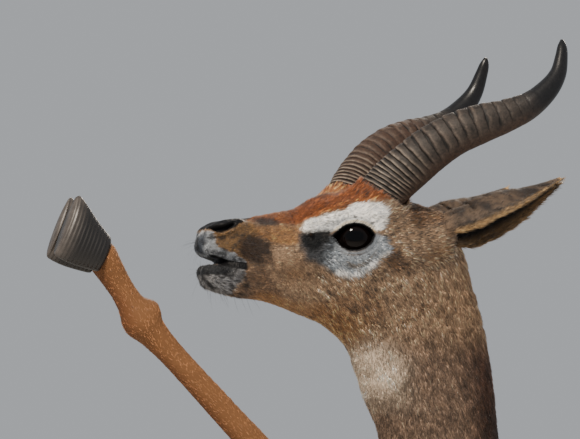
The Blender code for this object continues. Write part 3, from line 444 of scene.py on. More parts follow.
fleshGroups = {
    "head": bothSides(headTubes, mm, headPoint), "neck": bothSides(neckTubes, mm, headPoint),
    "trunk": bothSides(trunkTubes), "foreLeft": foreTubes(leftFore), "foreRight": foreTubes(rightFore),
    "hindLeft": hindTubes(-1), "hindRight": hindTubes(1), "tail": [(0.012, tailLine)]}
headFlesh = fleshGroups["head"] + fleshGroups["neck"]
bodyFlesh = sum([tubes for name, tubes in fleshGroups.items() if name != "head"], [])


def hairLie(points):
    # which group of flesh each point belongs to, and the way its hair lies
    closest = np.full(len(points), 1.0)
    group = np.zeros(len(points), int)
    lie = np.zeros_like(points)
    for number, tubes in enumerate(fleshGroups.values()):
        for _, stations in tubes:
            near, d, way = tubeField(points, stations)
            lie[near] += way * np.exp(-np.maximum(d, 0) / 0.006)[:, None]
            closer = d < closest[near]
            closest[near[closer]] = d[closer]
            group[near[closer]] = number
    return np.array(list(fleshGroups))[group], lie


# Skin
skinSetup = {
    "headGrid": 0.0019,       # how fine the head's surface is drawn, in metres
    "bodyGrid": 0.0062,
    "coatDepth": (0.0006, 0.0016),    # how far the skin lies inside the solids, on the head and the body
    "joinHeight": 1.672,      # where the two are joined, just below the camera's view
    "neckFront": -0.19,       # at that height, what lies ahead of this is the raised foreleg
    "eye": (-16, -27.5, -4),  # middle of the left eye, mm from the head's point
    "eyeRadius": 20.0,
    "eyeLooks": (-0.36, -0.93, 0.02),
    "slit": [                 # between the lids: backward and upward mm from the eye's middle
        (-18.6, 0.2), (-13, 5.4), (-7, 9.2), (0, 10.8), (7, 9.8), (12.5, 6.8), (16.6, 1.8),
        (14, -4.2), (9, -8.6), (2.5, -11.0), (-5, -11.0), (-11, -8.2), (-15.2, -3.6)],
    "slitDepth": 9.0,
    "nostril": [(-143.0, -10.5, 1.2), (-138.5, -14.2, 0.9), (-133.5, -16.6, 0.6), (-128.5, -17.6, 2.4),
                (-123.5, -17.2, 5.6)],
    "gland": (-59.0, -32.5, -5.0),    # the dark pit in front of the eye
    "hornSeat": (7.6, -33.7, 34.2),   # where the left horn's line leaves the head
}


def closedFlesh(name, tubes, grid, depth, keep):
    # balls along the tubes, remeshed into one skin and drawn onto the smooth union
    bm = bmesh.new()
    for _, stations in tubes:
        for x, y, z, half, ratio in spline(stations, 0.4):
            if keep(np.array([[x, y, z]]), 0.04)[0]:
                place = Matrix.Translation((x, y, z)) @ Matrix.Diagonal((half, half * ratio, half, 1))
                bmesh.ops.create_icosphere(bm, subdivisions=2, radius=1, matrix=place)
    obj = newObject(name, bm)
    step = obj.modifiers.new("remesh", "REMESH")
    step.mode = "VOXEL"
    step.voxel_size = grid
    applied(obj)
    settle(obj, tubes, grid, depth, keep, (0.6, 0.5, 0.4, 0.2))
    return obj


def settle(obj, tubes, grid, depth, keep, rounds):
    # evens the mesh out and draws it onto the flesh, to a depth inside it
    mesh = obj.data
    edges = np.empty(len(mesh.edges) * 2, np.int32)
    mesh.edges.foreach_get("vertices", edges)
    edges = edges.reshape(-1, 2)
    degree = np.maximum(1, np.bincount(edges.ravel(), minlength=len(mesh.vertices)))[:, None]
    points = vertexPlaces(mesh)
    held = keep(points, 0.012)
    for amount in rounds:
        around = np.zeros_like(points)
        np.add.at(around, edges[:, 0], points[edges[:, 1]])
        np.add.at(around, edges[:, 1], points[edges[:, 0]])
        points += amount * (around / degree - points)
        moveVertices(mesh, points)
        step = np.clip(fleshField(points[held], tubes) + depth, -2 * grid, 2 * grid)
        points[held] -= vertexNormals(mesh)[held] * step[:, None]
    moveVertices(mesh, points)


def bisected(obj, height, keepAbove):
    bm = bmesh.new()
    bm.from_mesh(obj.data)
    bmesh.ops.bisect_plane(
        bm, geom=bm.verts[:] + bm.edges[:] + bm.faces[:], plane_co=(0, 0, height), plane_no=(0, 0, 1),
        clear_inner=keepAbove, clear_outer=not keepAbove, dist=1e-5)
    return bm


def finer(obj, wanted):
    # cuts the edges near the wanted places in two
    bm = bmesh.new()
    bm.from_mesh(obj.data)
    near = wanted(vertexPlaces(obj.data))
    bm.verts.ensure_lookup_table()
    edges = [e for e in bm.edges if near[e.verts[0].index] and near[e.verts[1].index]]
    bmesh.ops.subdivide_edges(bm, edges=edges, cuts=1, use_grid_fill=True)
    bmesh.ops.triangulate(bm, faces=[f for f in bm.faces if len(f.verts) > 4])
    bm.to_mesh(obj.data)
    bm.free()


def fromHead(points):
    # millimetres from the head's point
    return (points - np.array(headPoint)) / mm


def onSide(places, side):
    # places of the left side, or their mirror images on the right
    return np.array(places, float) * (1, -side, 1)


def segmentDistance(p, line):
    # distance from points to a line of places, and how far along it the nearest place is, from 0 to 1
    best = np.full(len(p), 1e9)
    share = np.zeros(len(p))
    line = np.array(line, float)
    lengths = np.linalg.norm(np.diff(line, axis=0), axis=1)
    starts = np.concatenate([[0], np.cumsum(lengths)])
    for i, (a, b) in enumerate(zip(line[:-1], line[1:])):
        axis = b - a
        t = np.clip((p - a) @ axis / (axis @ axis), 0, 1)
        d = np.linalg.norm(p - a - t[:, None] * axis, axis=1)
        closer = d < best
        best[closer] = d[closer]
        share[closer] = (starts[i] + t[closer] * lengths[i]) / starts[-1]
    return best, share


def polygonDistance(u, v, corners):
    # signed distance to a closed outline in a plane, negative inside
    corners = np.array(corners, float)
    best = np.full(len(u), 1e9)
    inside = np.zeros(len(u), bool)
    for (ax, ay), (bx, by) in zip(corners, np.roll(corners, -1, axis=0)):
        ex, ey = bx - ax, by - ay
        t = np.clip(((u - ax) * ex + (v - ay) * ey) / (ex * ex + ey * ey), 0, 1)
        best = np.minimum(best, np.hypot(u - ax - t * ex, v - ay - t * ey))
        crosses = ((ay > v) != (by > v)) & (u < (bx - ax) * (v - ay) / (by - ay + 1e-12) + ax)
        inside ^= crosses
    return np.where(inside, -best, best)


def eyeAxes(side):
    # the eye's middle, the way it looks, and the way back along the head
    centre = onSide(skinSetup["eye"], side)
    lx, ly, lz = skinSetup["eyeLooks"]
    looks = np.array(Vector((lx, side * -ly, lz)).normalized())
    backward = np.cross((0, 0, 1), looks)
    backward /= np.linalg.norm(backward)
    return centre, looks, backward if backward[0] > 0 else -backward


def carveHead(obj):
    # the lids' slits, nostrils and glands, sunk into the skin
    points = vertexPlaces(obj.data)
    normals = vertexNormals(obj.data)
    p = fromHead(points)
    move = np.zeros_like(points)
    for side in (-1, 1):
        centre, looks, backward = eyeAxes(side)
        off = p - centre
        near = (np.linalg.norm(off, axis=1) < 36) & (off @ looks > 4)
        edge = polygonDistance(off[near] @ backward, off[near, 2], skinSetup["slit"])
        sink = ramp(edge, 0.3, -1.3) * skinSetup["slitDepth"] - 0.8 * np.exp(-((edge - 1.0) / 0.9) ** 2)
        fold = 0.7 * np.exp(-((edge - 5.2) / 0.9) ** 2)      # the crease round the lids
        move[near] -= looks * (sink + fold)[:, None]
        away, share = segmentDistance(p, onSide(skinSetup["nostril"], side))
        width = 2.6 * np.sin(np.clip(share, 0.05, 0.95) * math.pi) ** 0.6
        sink = 5.5 * ramp(away, width + 0.9, width - 1.2) - 0.7 * np.exp(-((away - width - 1.8) / 1.2) ** 2)
        move -= normals * sink[:, None]
        # nothing of the head stands out of the horn's seat
        seat = onSide(skinSetup["hornSeat"], side)
        faces = onSide(Vector(hornSetup["seat"]).normalized(), side)
        above = (p - seat) @ faces
        out = np.linalg.norm(p - seat - above[:, None] * faces, axis=1)
        low = (above > -0.6) & (above < 40)
        move -= faces * (np.where(low, above + 0.6, 0) * ramp(out, 23.5, 21.5))[:, None]
        away = np.linalg.norm(p - onSide(skinSetup["gland"], side), axis=1)
        move -= normals * (2.4 * ramp(away, 4.6, 1.2) - 0.5 * np.exp(-((away - 5.6) / 1.6) ** 2))[:, None]
    moveVertices(obj.data, points + move * mm)


def nearDetail(points):
    # which points are near the eyes, nostrils, glands or the line of the mouth
    p = fromHead(points)
    found = np.zeros(len(points), bool)
    for side in (-1, 1):
        centre, looks, _ = eyeAxes(side)
        off = p - centre
        found |= (np.linalg.norm(off - looks * 20, axis=1) < 23) & (off @ looks > 8)
        found |= segmentDistance(p, onSide(skinSetup["nostril"], side))[0] < 7
        found |= np.linalg.norm(p - onSide(skinSetup["gland"], side), axis=1) < 8
    found |= (p[:, 0] < -112) & (np.abs(p[:, 2] + 28) < 7)
    return found


def makeSkin():
    s = skinSetup
    join = s["joinHeight"]
    head = closedFlesh("headSkin", headFlesh, s["headGrid"], s["coatDepth"][0],
                       lambda p, spare: p[:, 2] > join - spare)
    finer(head, nearDetail)
    settle(head, headFlesh, s["headGrid"], s["coatDepth"][0],
           lambda p, spare: p[:, 2] > join - spare, (0.3, 0.0))
    carveHead(head)
    print("head skin", len(head.data.polygons))
    body = closedFlesh("bodySkin", bodyFlesh, s["bodyGrid"], s["coatDepth"][1],
                       lambda p, spare: (p[:, 2] < join + spare) | (p[:, 0] < s["neckFront"]))
    print("body skin", len(body.data.polygons))
    whole = bisected(head, join + 0.003, True)
    below = bmesh.new()
    below.from_mesh(body.data)
    # the neck's top comes off, and the raised foreleg stays
    middles = {f: f.calc_center_median() for f in below.faces}
    ring = [f for f, middle in middles.items() if middle.z > join - 0.012 and middle.x > s["neckFront"]]
    geom = list({v for f in ring for v in f.verts}) + list({e for f in ring for e in f.edges}) + ring
    bmesh.ops.bisect_plane(below, geom=geom, plane_co=(0, 0, join - 0.003), plane_no=(0, 0, 1),
                           clear_outer=True, dist=1e-5)
    below.to_mesh(body.data)
    below.free()
    whole.from_mesh(body.data)
    loops = [e for e in whole.edges if e.is_boundary]
    bmesh.ops.bridge_loops(whole, edges=loops)
    bmesh.ops.triangulate(whole, faces=[f for f in whole.faces if len(f.verts) > 4])
    bmesh.ops.recalc_face_normals(whole, faces=whole.faces)
    skin = newObject("skin", whole)
    bpy.data.objects.remove(head)
    bpy.data.objects.remove(body)
    smoothShade(skin)
    return skin


# Markings. Outlines on the side of the head are backward and upward millimetres from the head's point
coatColours = {
    "tan": "#a88a6e", "neck": "#89715f", "neckBackAndShade": "#55372a", "neckPaintedShade": "#36241b", "saddle": "#70452e",
    "flank": "#b08c68", "belly": "#e6ddcf", "leg": "#a06c42", "legFront": "#8a5634", "black": "#151314",
    "innerLeg": "#d9c8b0", "throat": "#d9c4ad", "crown": "#86664a", "jawBounceLight": "#c08a55",
    "forelockPaintedLight": "#c98552", "smudge": "#2b2c31", "speck": "#1d1d20", "dot": "#121214", "lidRim": "#d8c7a9",
    "bareSkin": "#0d0d0f", "knee": "#2a1d16",
}
# the trunk's middle and half depth at heights, so that marks can follow the back and the belly
trunkHeights = [0.70, 0.84, 0.96, 1.04, 1.13, 1.23, 1.33, 1.40, 1.50, 1.62]
trunkMiddles = [0.085, 0.078, 0.048, 0.030, 0.010, -0.014, -0.034, -0.038, -0.045, -0.062]
trunkHalves = [0.10, 0.085, 0.106, 0.120, 0.133, 0.137, 0.127, 0.105, 0.088, 0.070]
headMarks = [
    # outline, colour, softness in mm, strength
    # chestnut forehead and bridge of the nose
    ([(-122, 13), (-102, 9), (-85, 6.5), (-64, 7), (-51.7, 14), (-42, 17), (-32.6, 20), (-23, 25),
      (-12, 25.5), (0, 26), (14, 30), (30, 60), (-130, 60)], "#985b30", 3.0, 1.0),
    ([(-72, 8), (-64, 8.5), (-51.7, 16), (-32.6, 24), (-12, 30), (20, 34), (20, 60), (-60, 60)],
     "#70351a", 5.0, 0.5),
    # painted shade right behind the horn
    ([(30, 6), (40, 4), (47, 14), (47, 30), (40, 46), (30, 46)], "#46301f", 7.0, 0.75),
    # side of the muzzle, its dark middle, and the cheek
    ([(-108, 6.5), (-85, 6), (-66, 5.5), (-65, -7), (-77.7, -12.1), (-95, -7.4), (-106, -3)],
     "#a8794b", 4.0, 0.9),
    ([(-141, -2), (-125.5, 1), (-118, 6), (-106, 8), (-102, -2), (-107, -14), (-112, -25), (-124, -23),
      (-137, -17)], "#80603a", 2.5, 0.9),
    ([(-118, -5), (-104, -3), (-90, -11), (-90, -27), (-109, -29), (-121, -19)], "#3a281b", 8.0, 0.95),
    ([(-98, -20), (-78, -24), (-62, -18), (-60, -40), (-84, -52), (-104, -44)], "#a98667", 6.0, 0.5),
    ([(-115, -31), (-100, -30), (-84, -44), (-70, -66), (-124, -60), (-116, -44)], "#684c35", 4.0, 0.6),
    ([(8.7, -11), (18.7, -16), (30, -28), (17, -33), (6.0, -25)], "#62422a", 5.0, 0.6),
    ([(-44, -58), (-20, -46), (4, -52), (10, -70), (-20, -84), (-50, -74)], "#7d5a3c", 7.0, 0.45),
    # white brow, greyer along the lid
    ([(-64.5, 1), (-62, 8.2), (-51.7, 12.9), (-42, 15.9), (-32.6, 18.9), (-29.6, 21.6), (-23.3, 24.4),
      (-12.4, 25), (-3.6, 23.6), (4.2, 20.6), (7.5, 16.0), (3.5, 9.0), (0, 3.8), (-3.5, 1.5), (-12.6, 5.6),
      (-23.2, 7), (-29.4, 6), (-36.5, 1.8), (-48.3, -1.6), (-56, -0.9), (-62, -2.4)], "#fbf7f0", 2.2, 1.0),
    ([(-60, -1), (-50, 6), (-40, 11), (-28, 13.5), (-14, 13), (-4, 8), (-12.6, 5), (-23.2, 7), (-36, 1.5),
      (-48, -1.6)], "#b3b6b8", 2.6, 0.7),
    # grey round the lower lid, and the dark field of the gland
    ([(-44, -3.5), (-48, -14), (-53, -24.5), (-46, -29.5), (-39.8, -33.6), (-33.9, -35.4), (-23.7, -38.6),
      (-13.1, -36), (-6.9, -30), (-0.2, -23), (10, -14.6), (7.5, -9), (3.6, -3), (-2, -0.5), (-20, -6)],
     "#a6adb4", 4.5, 1.0),
    ([(-36, -31), (-24, -34.5), (-14, -32), (-7, -26), (1, -19), (10.5, -14.2), (0, -23.4), (-6.6, -30.6),
      (-13, -36.8), (-24, -39.4), (-36, -36)], "#e4e2de", 3.0, 0.9),
    ([(-30, -24), (-20, -26.5), (-10, -23), (-2, -15), (-5, -19.5), (-11, -27), (-20, -30.5), (-32, -28)],
     "#8a7c6c", 1.2, 0.7),
    ([(-68, -2.0), (-67, -13), (-61, -24), (-50, -26), (-43, -18), (-38, -10), (-37, -4.0), (-46, -1.0),
      (-56, -1.0)], "#50555b", 9.0, 0.95),
    ([(-66, -1), (-66, -11), (-60, -18), (-53, -16), (-47, -8), (-40, -1.5), (-50, -0.5)],
     "#141619", 6.0, 1.0),
    # upper lip, lower lip and chin
    ([(-152, 0), (-141, -2.7), (-139.8, -10.4), (-137, -15), (-130, -18.3), (-122.2, -21.5), (-114, -26),
      (-114, -30.5), (-127.5, -29), (-140, -26), (-152, -26)], "#a0a4a9", 1.2, 1.0),
    ([(-152, 2), (-146.4, 0), (-146.8, -8), (-148.0, -16), (-147, -24), (-152, -24)], "#3d434c", 1.6, 0.95),
    ([(-152, -29), (-115, -30), (-114, -36), (-116.7, -43), (-122.1, -50), (-127, -58), (-152, -58)],
     "#939394", 1.6, 0.95),
    ([(-152, -27), (-138, -28.5), (-124, -31), (-127, -36.5), (-138, -38), (-152, -38)],
     "#26292d", 1.8, 0.95),
]
nosePad = [(-152, 1.5), (-145.5, -0.4), (-139.6, -1.8), (-133.5, -1.6), (-125.5, 1.0), (-118.4, 5.6),
           (-107, 10), (-100, 13), (-100, 30), (-152, 30)]
speckField = [(-68, 3), (-50, 14), (-20, 18), (4, 12), (12, -14), (-10, -40), (-52, -34), (-68, -22)]
mouthLine = [(-141, -24.0), (-134, -26.2), (-127.5, -28.3), (-121.4, -29.3), (-113, -30.2)]
tearLine = [(-44, -38.5, -0.8), (-50, -36.5, -1.4), (-56, -33, -1.8)]


def mixed(colours, other, share):
    return colours + (linear(other) - colours) * share[:, None]


def outlineShare(u, v, outline, soft):
    # 1 well inside an outline, 0 outside; only points near its box are worked out
    corners = np.array(outline, float)
    low, high = corners.min(0) - soft, corners.max(0) + soft
    near = (u > low[0]) & (u < high[0]) & (v > low[1]) & (v < high[1])
    found = np.zeros(len(u))
    found[near] = ramp(polygonDistance(u[near], v[near], outline), soft / 2, -soft / 2)
    return found


def coatColour(points, normals):
    # the coat's linear colour at places on the skin, and how bare the skin is there
    c = coatColours
    x, y, z = points.T
    side = np.abs(y)
    colours = np.tile(linear(c["tan"]), (len(points), 1))
    drift = cloud(points, 0.018, 1) * 0.010

    # trunk: saddle over the back, paler flanks, white below
    middle, half = np.interp(z, trunkHeights, trunkMiddles), np.interp(z, trunkHeights, trunkHalves)
    along = (x + drift - middle) / half      # 1 at the back, -1 at the belly
    trunk = ramp(z, 1.62, 1.50) * ramp(x, -0.20, -0.17)
    colours = mixed(colours, c["flank"], trunk * ramp(along, 0.55, 0.30) * 0.75)
    colours = mixed(colours, c["saddle"], trunk * ramp(along, 0.36, 0.52) * ramp(z, 0.66, 0.80) * 0.9)
    belly = ramp(along, -0.66, -0.84) * ramp(side, 0.085, 0.060) * ramp(z, 0.66, 0.72)
    colours = mixed(colours, c["belly"], trunk * belly)
    rump = ramp(np.hypot(x - 0.150, z - 0.84), 0.085, 0.060) * ramp(side, 0.050, 0.035) * ramp(x, 0.10, 0.12)
    colours = mixed(colours, c["belly"], rump)

    # legs: foxy outside, pale inside, darker down the front
    hindLeg = ramp(z, 0.74, 0.62)
    foreLeg = ramp(x, -0.20, -0.225) * ramp(fromHead(points)[:, 2], 40, -20) * ramp(side, 0.045, 0.055)
    leg = np.clip(hindLeg + foreLeg, 0, 1)
    colours = mixed(colours, c["leg"], leg * 0.9)
    colours = mixed(colours, c["legFront"], leg * ramp(-normals[:, 0], 0.2, 0.9) * 0.7)
    inward = -normals[:, 1] * np.sign(y)
    thigh = ramp(z, 0.95, 0.80) * ramp(z, 0.36, 0.44)
    inside = np.clip(thigh + foreLeg * 0.6, 0, 1) * ramp(inward, 0.25, 0.7)
    colours = mixed(colours, c["innerLeg"], inside * 0.85)

    # neck: dark brown behind, with painted shade on the side turned from the light; a paler throat with
    # painted light
    p = fromHead(points)
    neck = ramp(p[:, 2], -70, -110) * ramp(z, 1.42, 1.52) * ramp(x, -0.235, -0.20)
    colours = mixed(colours, c["neck"], neck * 0.9)
    # darker brown coat behind, deepened by painted shade where the neck turns away from the light
    colours = mixed(colours, c["neckBackAndShade"], neck * ramp(normals[:, 0], -0.05, 0.60) * 0.9)
    # painted shade low down on the back of the neck
    shade = ramp(normals[:, 0], 0.05, 0.60) * ramp(p[:, 2], -110, -160) * ramp(z, 1.50, 1.60)
    colours = mixed(colours, c["neckPaintedShade"], neck * shade * 0.85)
    # a paler throat, brightened with painted light where the neck faces the lamp
    throat = ramp(-normals[:, 0], 0.25, 0.72) * ramp(p[:, 2], -75, -100)
    colours = mixed(colours, c["throat"], neck * throat * 0.95 * ramp(p[:, 2], -158, -122))

    # head
    ahead = (p[:, 2] > -110) & (x > -0.33) & (side < 0.075)
    ahead |= p[:, 0] > -20
    ahead &= p[:, 2] > -110
    q = p[ahead]
    tint = colours[ahead]
    place = points[ahead]
    u = q[:, 0] + cloud(place, 0.006, 2) * 1.3 + cloud(place, 0.0022, 3) * 0.7
    v = q[:, 2] + cloud(place, 0.006, 4) * 1.3 + cloud(place, 0.0022, 5) * 0.7
    crown = ramp(normals[ahead, 2], 0.1, 0.6) * ramp(q[:, 0], 10, 30)
    tint = mixed(tint, c["crown"], crown * 0.8)
    for outline, colour, soft, strength in headMarks:
        tint = mixed(tint, colour, outlineShare(u, v, outline, soft) * strength)
    # painted bounce light along the underside of the jaw
    jawBounceLight = ramp(-normals[ahead, 2], 0.35, 0.85) * ramp(q[:, 0], -112, -96)
    tint = mixed(tint, c["jawBounceLight"], jawBounceLight * 0.6)
    # the forelock and the far side's horn root are painted a paler red: painted light where they face the
    # lamp
    forelockPaintedLight = ramp(np.hypot((q[:, 0] + 20) / 17, (q[:, 1] - 16) / 22), 1.15, 0.6) * ramp(q[:, 2], 26, 34)
    tint = mixed(tint, c["forelockPaintedLight"], forelockPaintedLight * 0.8)
    smudge = ramp(np.hypot((q[:, 0] + 92) / 12, (q[:, 2] - 8.5) / 4.6), 1.15, 0.5)
    tint = mixed(tint, c["smudge"], smudge * 0.8)
    specks = ramp(cloud(place, 0.0017, 6), 0.42, 0.60)
    tint = mixed(tint, c["speck"], specks * outlineShare(u, v, speckField, 4.0) * 0.55)
    lips = ramp(q[:, 0], -104, -114)
    dots = ramp(cloud(place, 0.0026, 7), 0.12, 0.34) * lips
    tint = mixed(tint, c["dot"], dots * ramp(q[:, 2], 0, -3) * 0.8)

    # bare places: nose pad, nostrils, lids, gland, edge of the lips
    bare = outlineShare(u, v, nosePad, 1.2)
    away, _ = segmentDistance(q * (1, 0, 1), [(a, 0, b) for a, b in mouthLine])
    bare = np.maximum(bare, ramp(away, 3.9, 2.8) * ramp(q[:, 0], -109, -112))
    for s in (-1, 1):
        centre, looks, backward = eyeAxes(s)
        off = q - centre
        front = (off @ looks > 4) & (np.linalg.norm(off, axis=1) < 40)
        edge = np.full(len(q), 99.0)
        edge[front] = polygonDistance(off[front] @ backward, off[front, 2], skinSetup["slit"])
        bare = np.maximum(bare, ramp(edge, 1.9, 1.3))
        tear, _ = segmentDistance(q, onSide(tearLine, s))
        bare = np.maximum(bare, ramp(tear, 1.6, 0.9))
        gland = np.linalg.norm(q - onSide(skinSetup["gland"], s), axis=1)
        bare = np.maximum(bare, ramp(gland, 4.4, 3.2))
        lidRim = ramp(np.abs(edge - 2.9), 1.2, 0.5) * ramp(off[:, 2], 3, 6)
        tint = mixed(tint, c["lidRim"], lidRim * 0.8)
    tint = mixed(tint, c["bareSkin"], bare)
    colours[ahead] = tint
    bald = np.zeros(len(points))
    bald[ahead] = bare

    # tail's end and the knees
    tail = ramp(x, 0.150, 0.170) * ramp(z, 0.74, 0.68) * ramp(side, 0.03, 0.02)
    colours = mixed(colours, c["black"], tail)
    for leg in (leftFore, rightFore):
        away = np.linalg.norm(points - np.array(leg["knee"]), axis=1)
        knee = ramp(away, 0.036, 0.026) * ramp(-normals[:, 0], -0.3, 0.3)
        colours = mixed(colours, c["knee"], knee * 0.85)
    tone = 1 + 0.05 * cloud(points, 0.0035, 8) + 0.07 * cloud(points, 0.012, 9)
    tone += 0.06 * cloud(points, 0.05, 10)
    return np.clip(colours * tone[:, None], 0, 1), bald


def hairMaterial(name):
    # short animal hair: dull across, with a faint satin along the tips
    made = blankMaterial(name)
    tree = made.node_tree
    marks = addNode(tree, "ShaderNodeAttribute", {"attribute_name": "marks"})
    shader = addNode(tree, "ShaderNodeBsdfPrincipled", Base_Color=marks.outputs["Color"], Roughness=0.62,
                     IOR=1.55, Specular_IOR_Level=0.28, Sheen_Weight=0.10, Sheen_Roughness=0.5)
    finishMaterial(tree, shader)
    return made


def skinMaterial():
    # hide under short hair: dull with fine hair grain, moist and pebbled where it is bare
    made = blankMaterial("short haired hide")
    tree = made.node_tree
    marks = addNode(tree, "ShaderNodeAttribute", {"attribute_name": "marks"})
    bare = addNode(tree, "ShaderNodeAttribute", {"attribute_name": "bare"})
    place = addNode(tree, "ShaderNodeTexCoord")
    grain = addNode(tree, "ShaderNodeTexNoise", Vector=place.outputs["Object"], Scale=900.0, Detail=3.0,
                    Roughness=0.6)      # hair about 1 mm apart
    # pebbles about 1.5 mm across
    pebble = addNode(tree, "ShaderNodeTexVoronoi", Vector=place.outputs["Object"], Scale=650.0)
    relief = addNode(tree, "ShaderNodeMix", Factor=bare.outputs["Fac"], A=grain.outputs[0],
                     B=pebble.outputs["Distance"])
    bump = addNode(tree, "ShaderNodeBump", Strength=0.5, Distance=0.0006, Height=relief.outputs[0])
    rough = addNode(tree, "ShaderNodeMapRange", Value=bare.outputs["Fac"], To_Min=0.72, To_Max=0.50)
    shader = addNode(tree, "ShaderNodeBsdfPrincipled", Base_Color=marks.outputs["Color"],
                     Roughness=rough.outputs[0], IOR=1.45, Specular_IOR_Level=0.22, Normal=bump.outputs[0])
    finishMaterial(tree, shader)
    return made


# Eyes
eyeSetup = {
    "pupil": (7.6, 4.6),      # half length and half height of the level pupil, in mm
    "iris": 13.5,             # radius
    "bulge": 0.9,             # how far the clear front stands out of the ball
    "pupilColour": "#010102",
    "irisColour": "#0b0605",
    "whiteColour": "#120c0a",
}


def makeEye(name, side):
    s = eyeSetup
    centre, looks, backward = eyeAxes(side)
    bm = bmesh.new()
    turn = Vector(looks).to_track_quat("Z", "Y").to_matrix().to_4x4()
    bmesh.ops.create_uvsphere(
        bm, u_segments=64, v_segments=48, radius=skinSetup["eyeRadius"] * mm,
        matrix=Matrix.Translation(headPoint + Vector(centre) * mm) @ turn)
    obj = newObject(name, bm)
    p = fromHead(vertexPlaces(obj.data)) - centre
    flat = np.stack([p @ backward, p[:, 2] - (p @ looks) * looks[2]], axis=1)
    away = np.hypot(*flat.T)
    front = p @ looks > 0
    swell = s["bulge"] * ramp(away, 15, 5) * front
    outward = p / np.linalg.norm(p, axis=1)[:, None]
    moveVertices(obj.data, vertexPlaces(obj.data) + outward * swell[:, None] * mm)
    colours = np.tile(linear(s["whiteColour"]), (len(p), 1))
    colours = mixed(colours, s["irisColour"], ramp(away, s["iris"] + 0.8, s["iris"] - 0.8) * front)
    slot = np.hypot(flat[:, 0] / s["pupil"][0], flat[:, 1] / s["pupil"][1])
    colours = mixed(colours, s["pupilColour"], ramp(slot, 1.12, 0.92) * front)
    paint(obj.data, colours)
    smoothShade(obj)
    obj.data.materials.append(bpy.data.materials["wet eye"])
    return obj


def eyeMaterial():
    # a living eye: dark ball under a clear wet film
    made = blankMaterial("wet eye")
    tree = made.node_tree
    marks = addNode(tree, "ShaderNodeAttribute", {"attribute_name": "marks"})
    shader = addNode(tree, "ShaderNodeBsdfPrincipled", Base_Color=marks.outputs["Color"], Roughness=0.35,
                     IOR=1.376, Specular_IOR_Level=0.0, Coat_Weight=0.75, Coat_Roughness=0.01, Coat_IOR=1.33)
    finishMaterial(tree, shader)


# Horns, along the same line as the solids
hornSetup = {
    "line": [
        (-1, -29.5, 24.5, 40), (6, -32.5, 32.2, 40), (15.8, -39, 44.8, 41), (29.6, -48, 59.3, 40.6),
        (44.8, -56, 73.2, 39), (62.8, -63, 85.4, 36.5), (84, -70, 94.6, 33.7), (105.6, -75, 102, 28.6),
        (126.9, -79, 111.7, 23.4), (144, -80, 125.7, 19.4), (155, -79, 140.2, 15), (160.2, -76, 155.7, 11.4),
        (162.2, -73.6, 165, 8.6), (163, -72, 171, 3.2)],
    "ratio": 0.86,
    "start": 9.0,             # a little inside the skin
    "ringStart": 13.0,
    "rings": 22,
    "first": 3.7, "widest": 10.4,     # mm between the rings at the root, and at most
    "crowd": 5.5, "growth": 0.85,     # how many are crowded, and how the spacing grows after them
    "crest": 0.028,
    "groove": 0.060,
    "sides": 64,
    "seat": (0.46, -0.20, 0.87),
    "turns": 50.0,
    "colour": "#362f2a", "brown": "#28221e", "red": "#533726", "crestHighlight": "#75665a", "speck": "#15110f",
    "tip": "#151517", "worn": "#a89a89", "deep": "#070606", "rootHollowShade": "#0a0808",
    "shape": [                # one ring: a sharp crest, a long slope, a narrow groove, in shares of its pitch
        (0.0, -1.0), (0.06, -0.30), (0.13, 0.80), (0.24, 1.0), (0.40, 0.74), (0.60, 0.46), (0.80, 0.24),
        (0.91, -0.02), (0.96, -0.70)],
    "front": (-0.62, 0.16, 0.77),    # the rings stand out on this side
}


def alongLine(points, distance):
    for a, b in zip(points, points[1:]):
        length = (b - a).length
        if distance <= length or b is points[-1]:
            return a + (b - a) * (distance / length), (b - a).normalized()
        distance -= length


def makeTube(bm, rings):
    # a closed tube: circles moved onto the rings of places, each bridged to the one before
    last = None
    for number, ring in enumerate(rings):
        circle = bmesh.ops.create_circle(
            bm, cap_ends=number in (0, len(rings) - 1), segments=len(ring), radius=1)["verts"]
        for vert, place in zip(circle, ring):
            vert.co = place
        edges = list({e for v in circle for e in v.link_edges})
        if last:
            bmesh.ops.bridge_loops(bm, edges=last + edges)
        last = edges
    bmesh.ops.recalc_face_normals(bm, faces=bm.faces)


def ringPitch(number):
    s = hornSetup
    return min(s["widest"], s["first"] + s["growth"] * max(0.0, number - s["crowd"]))


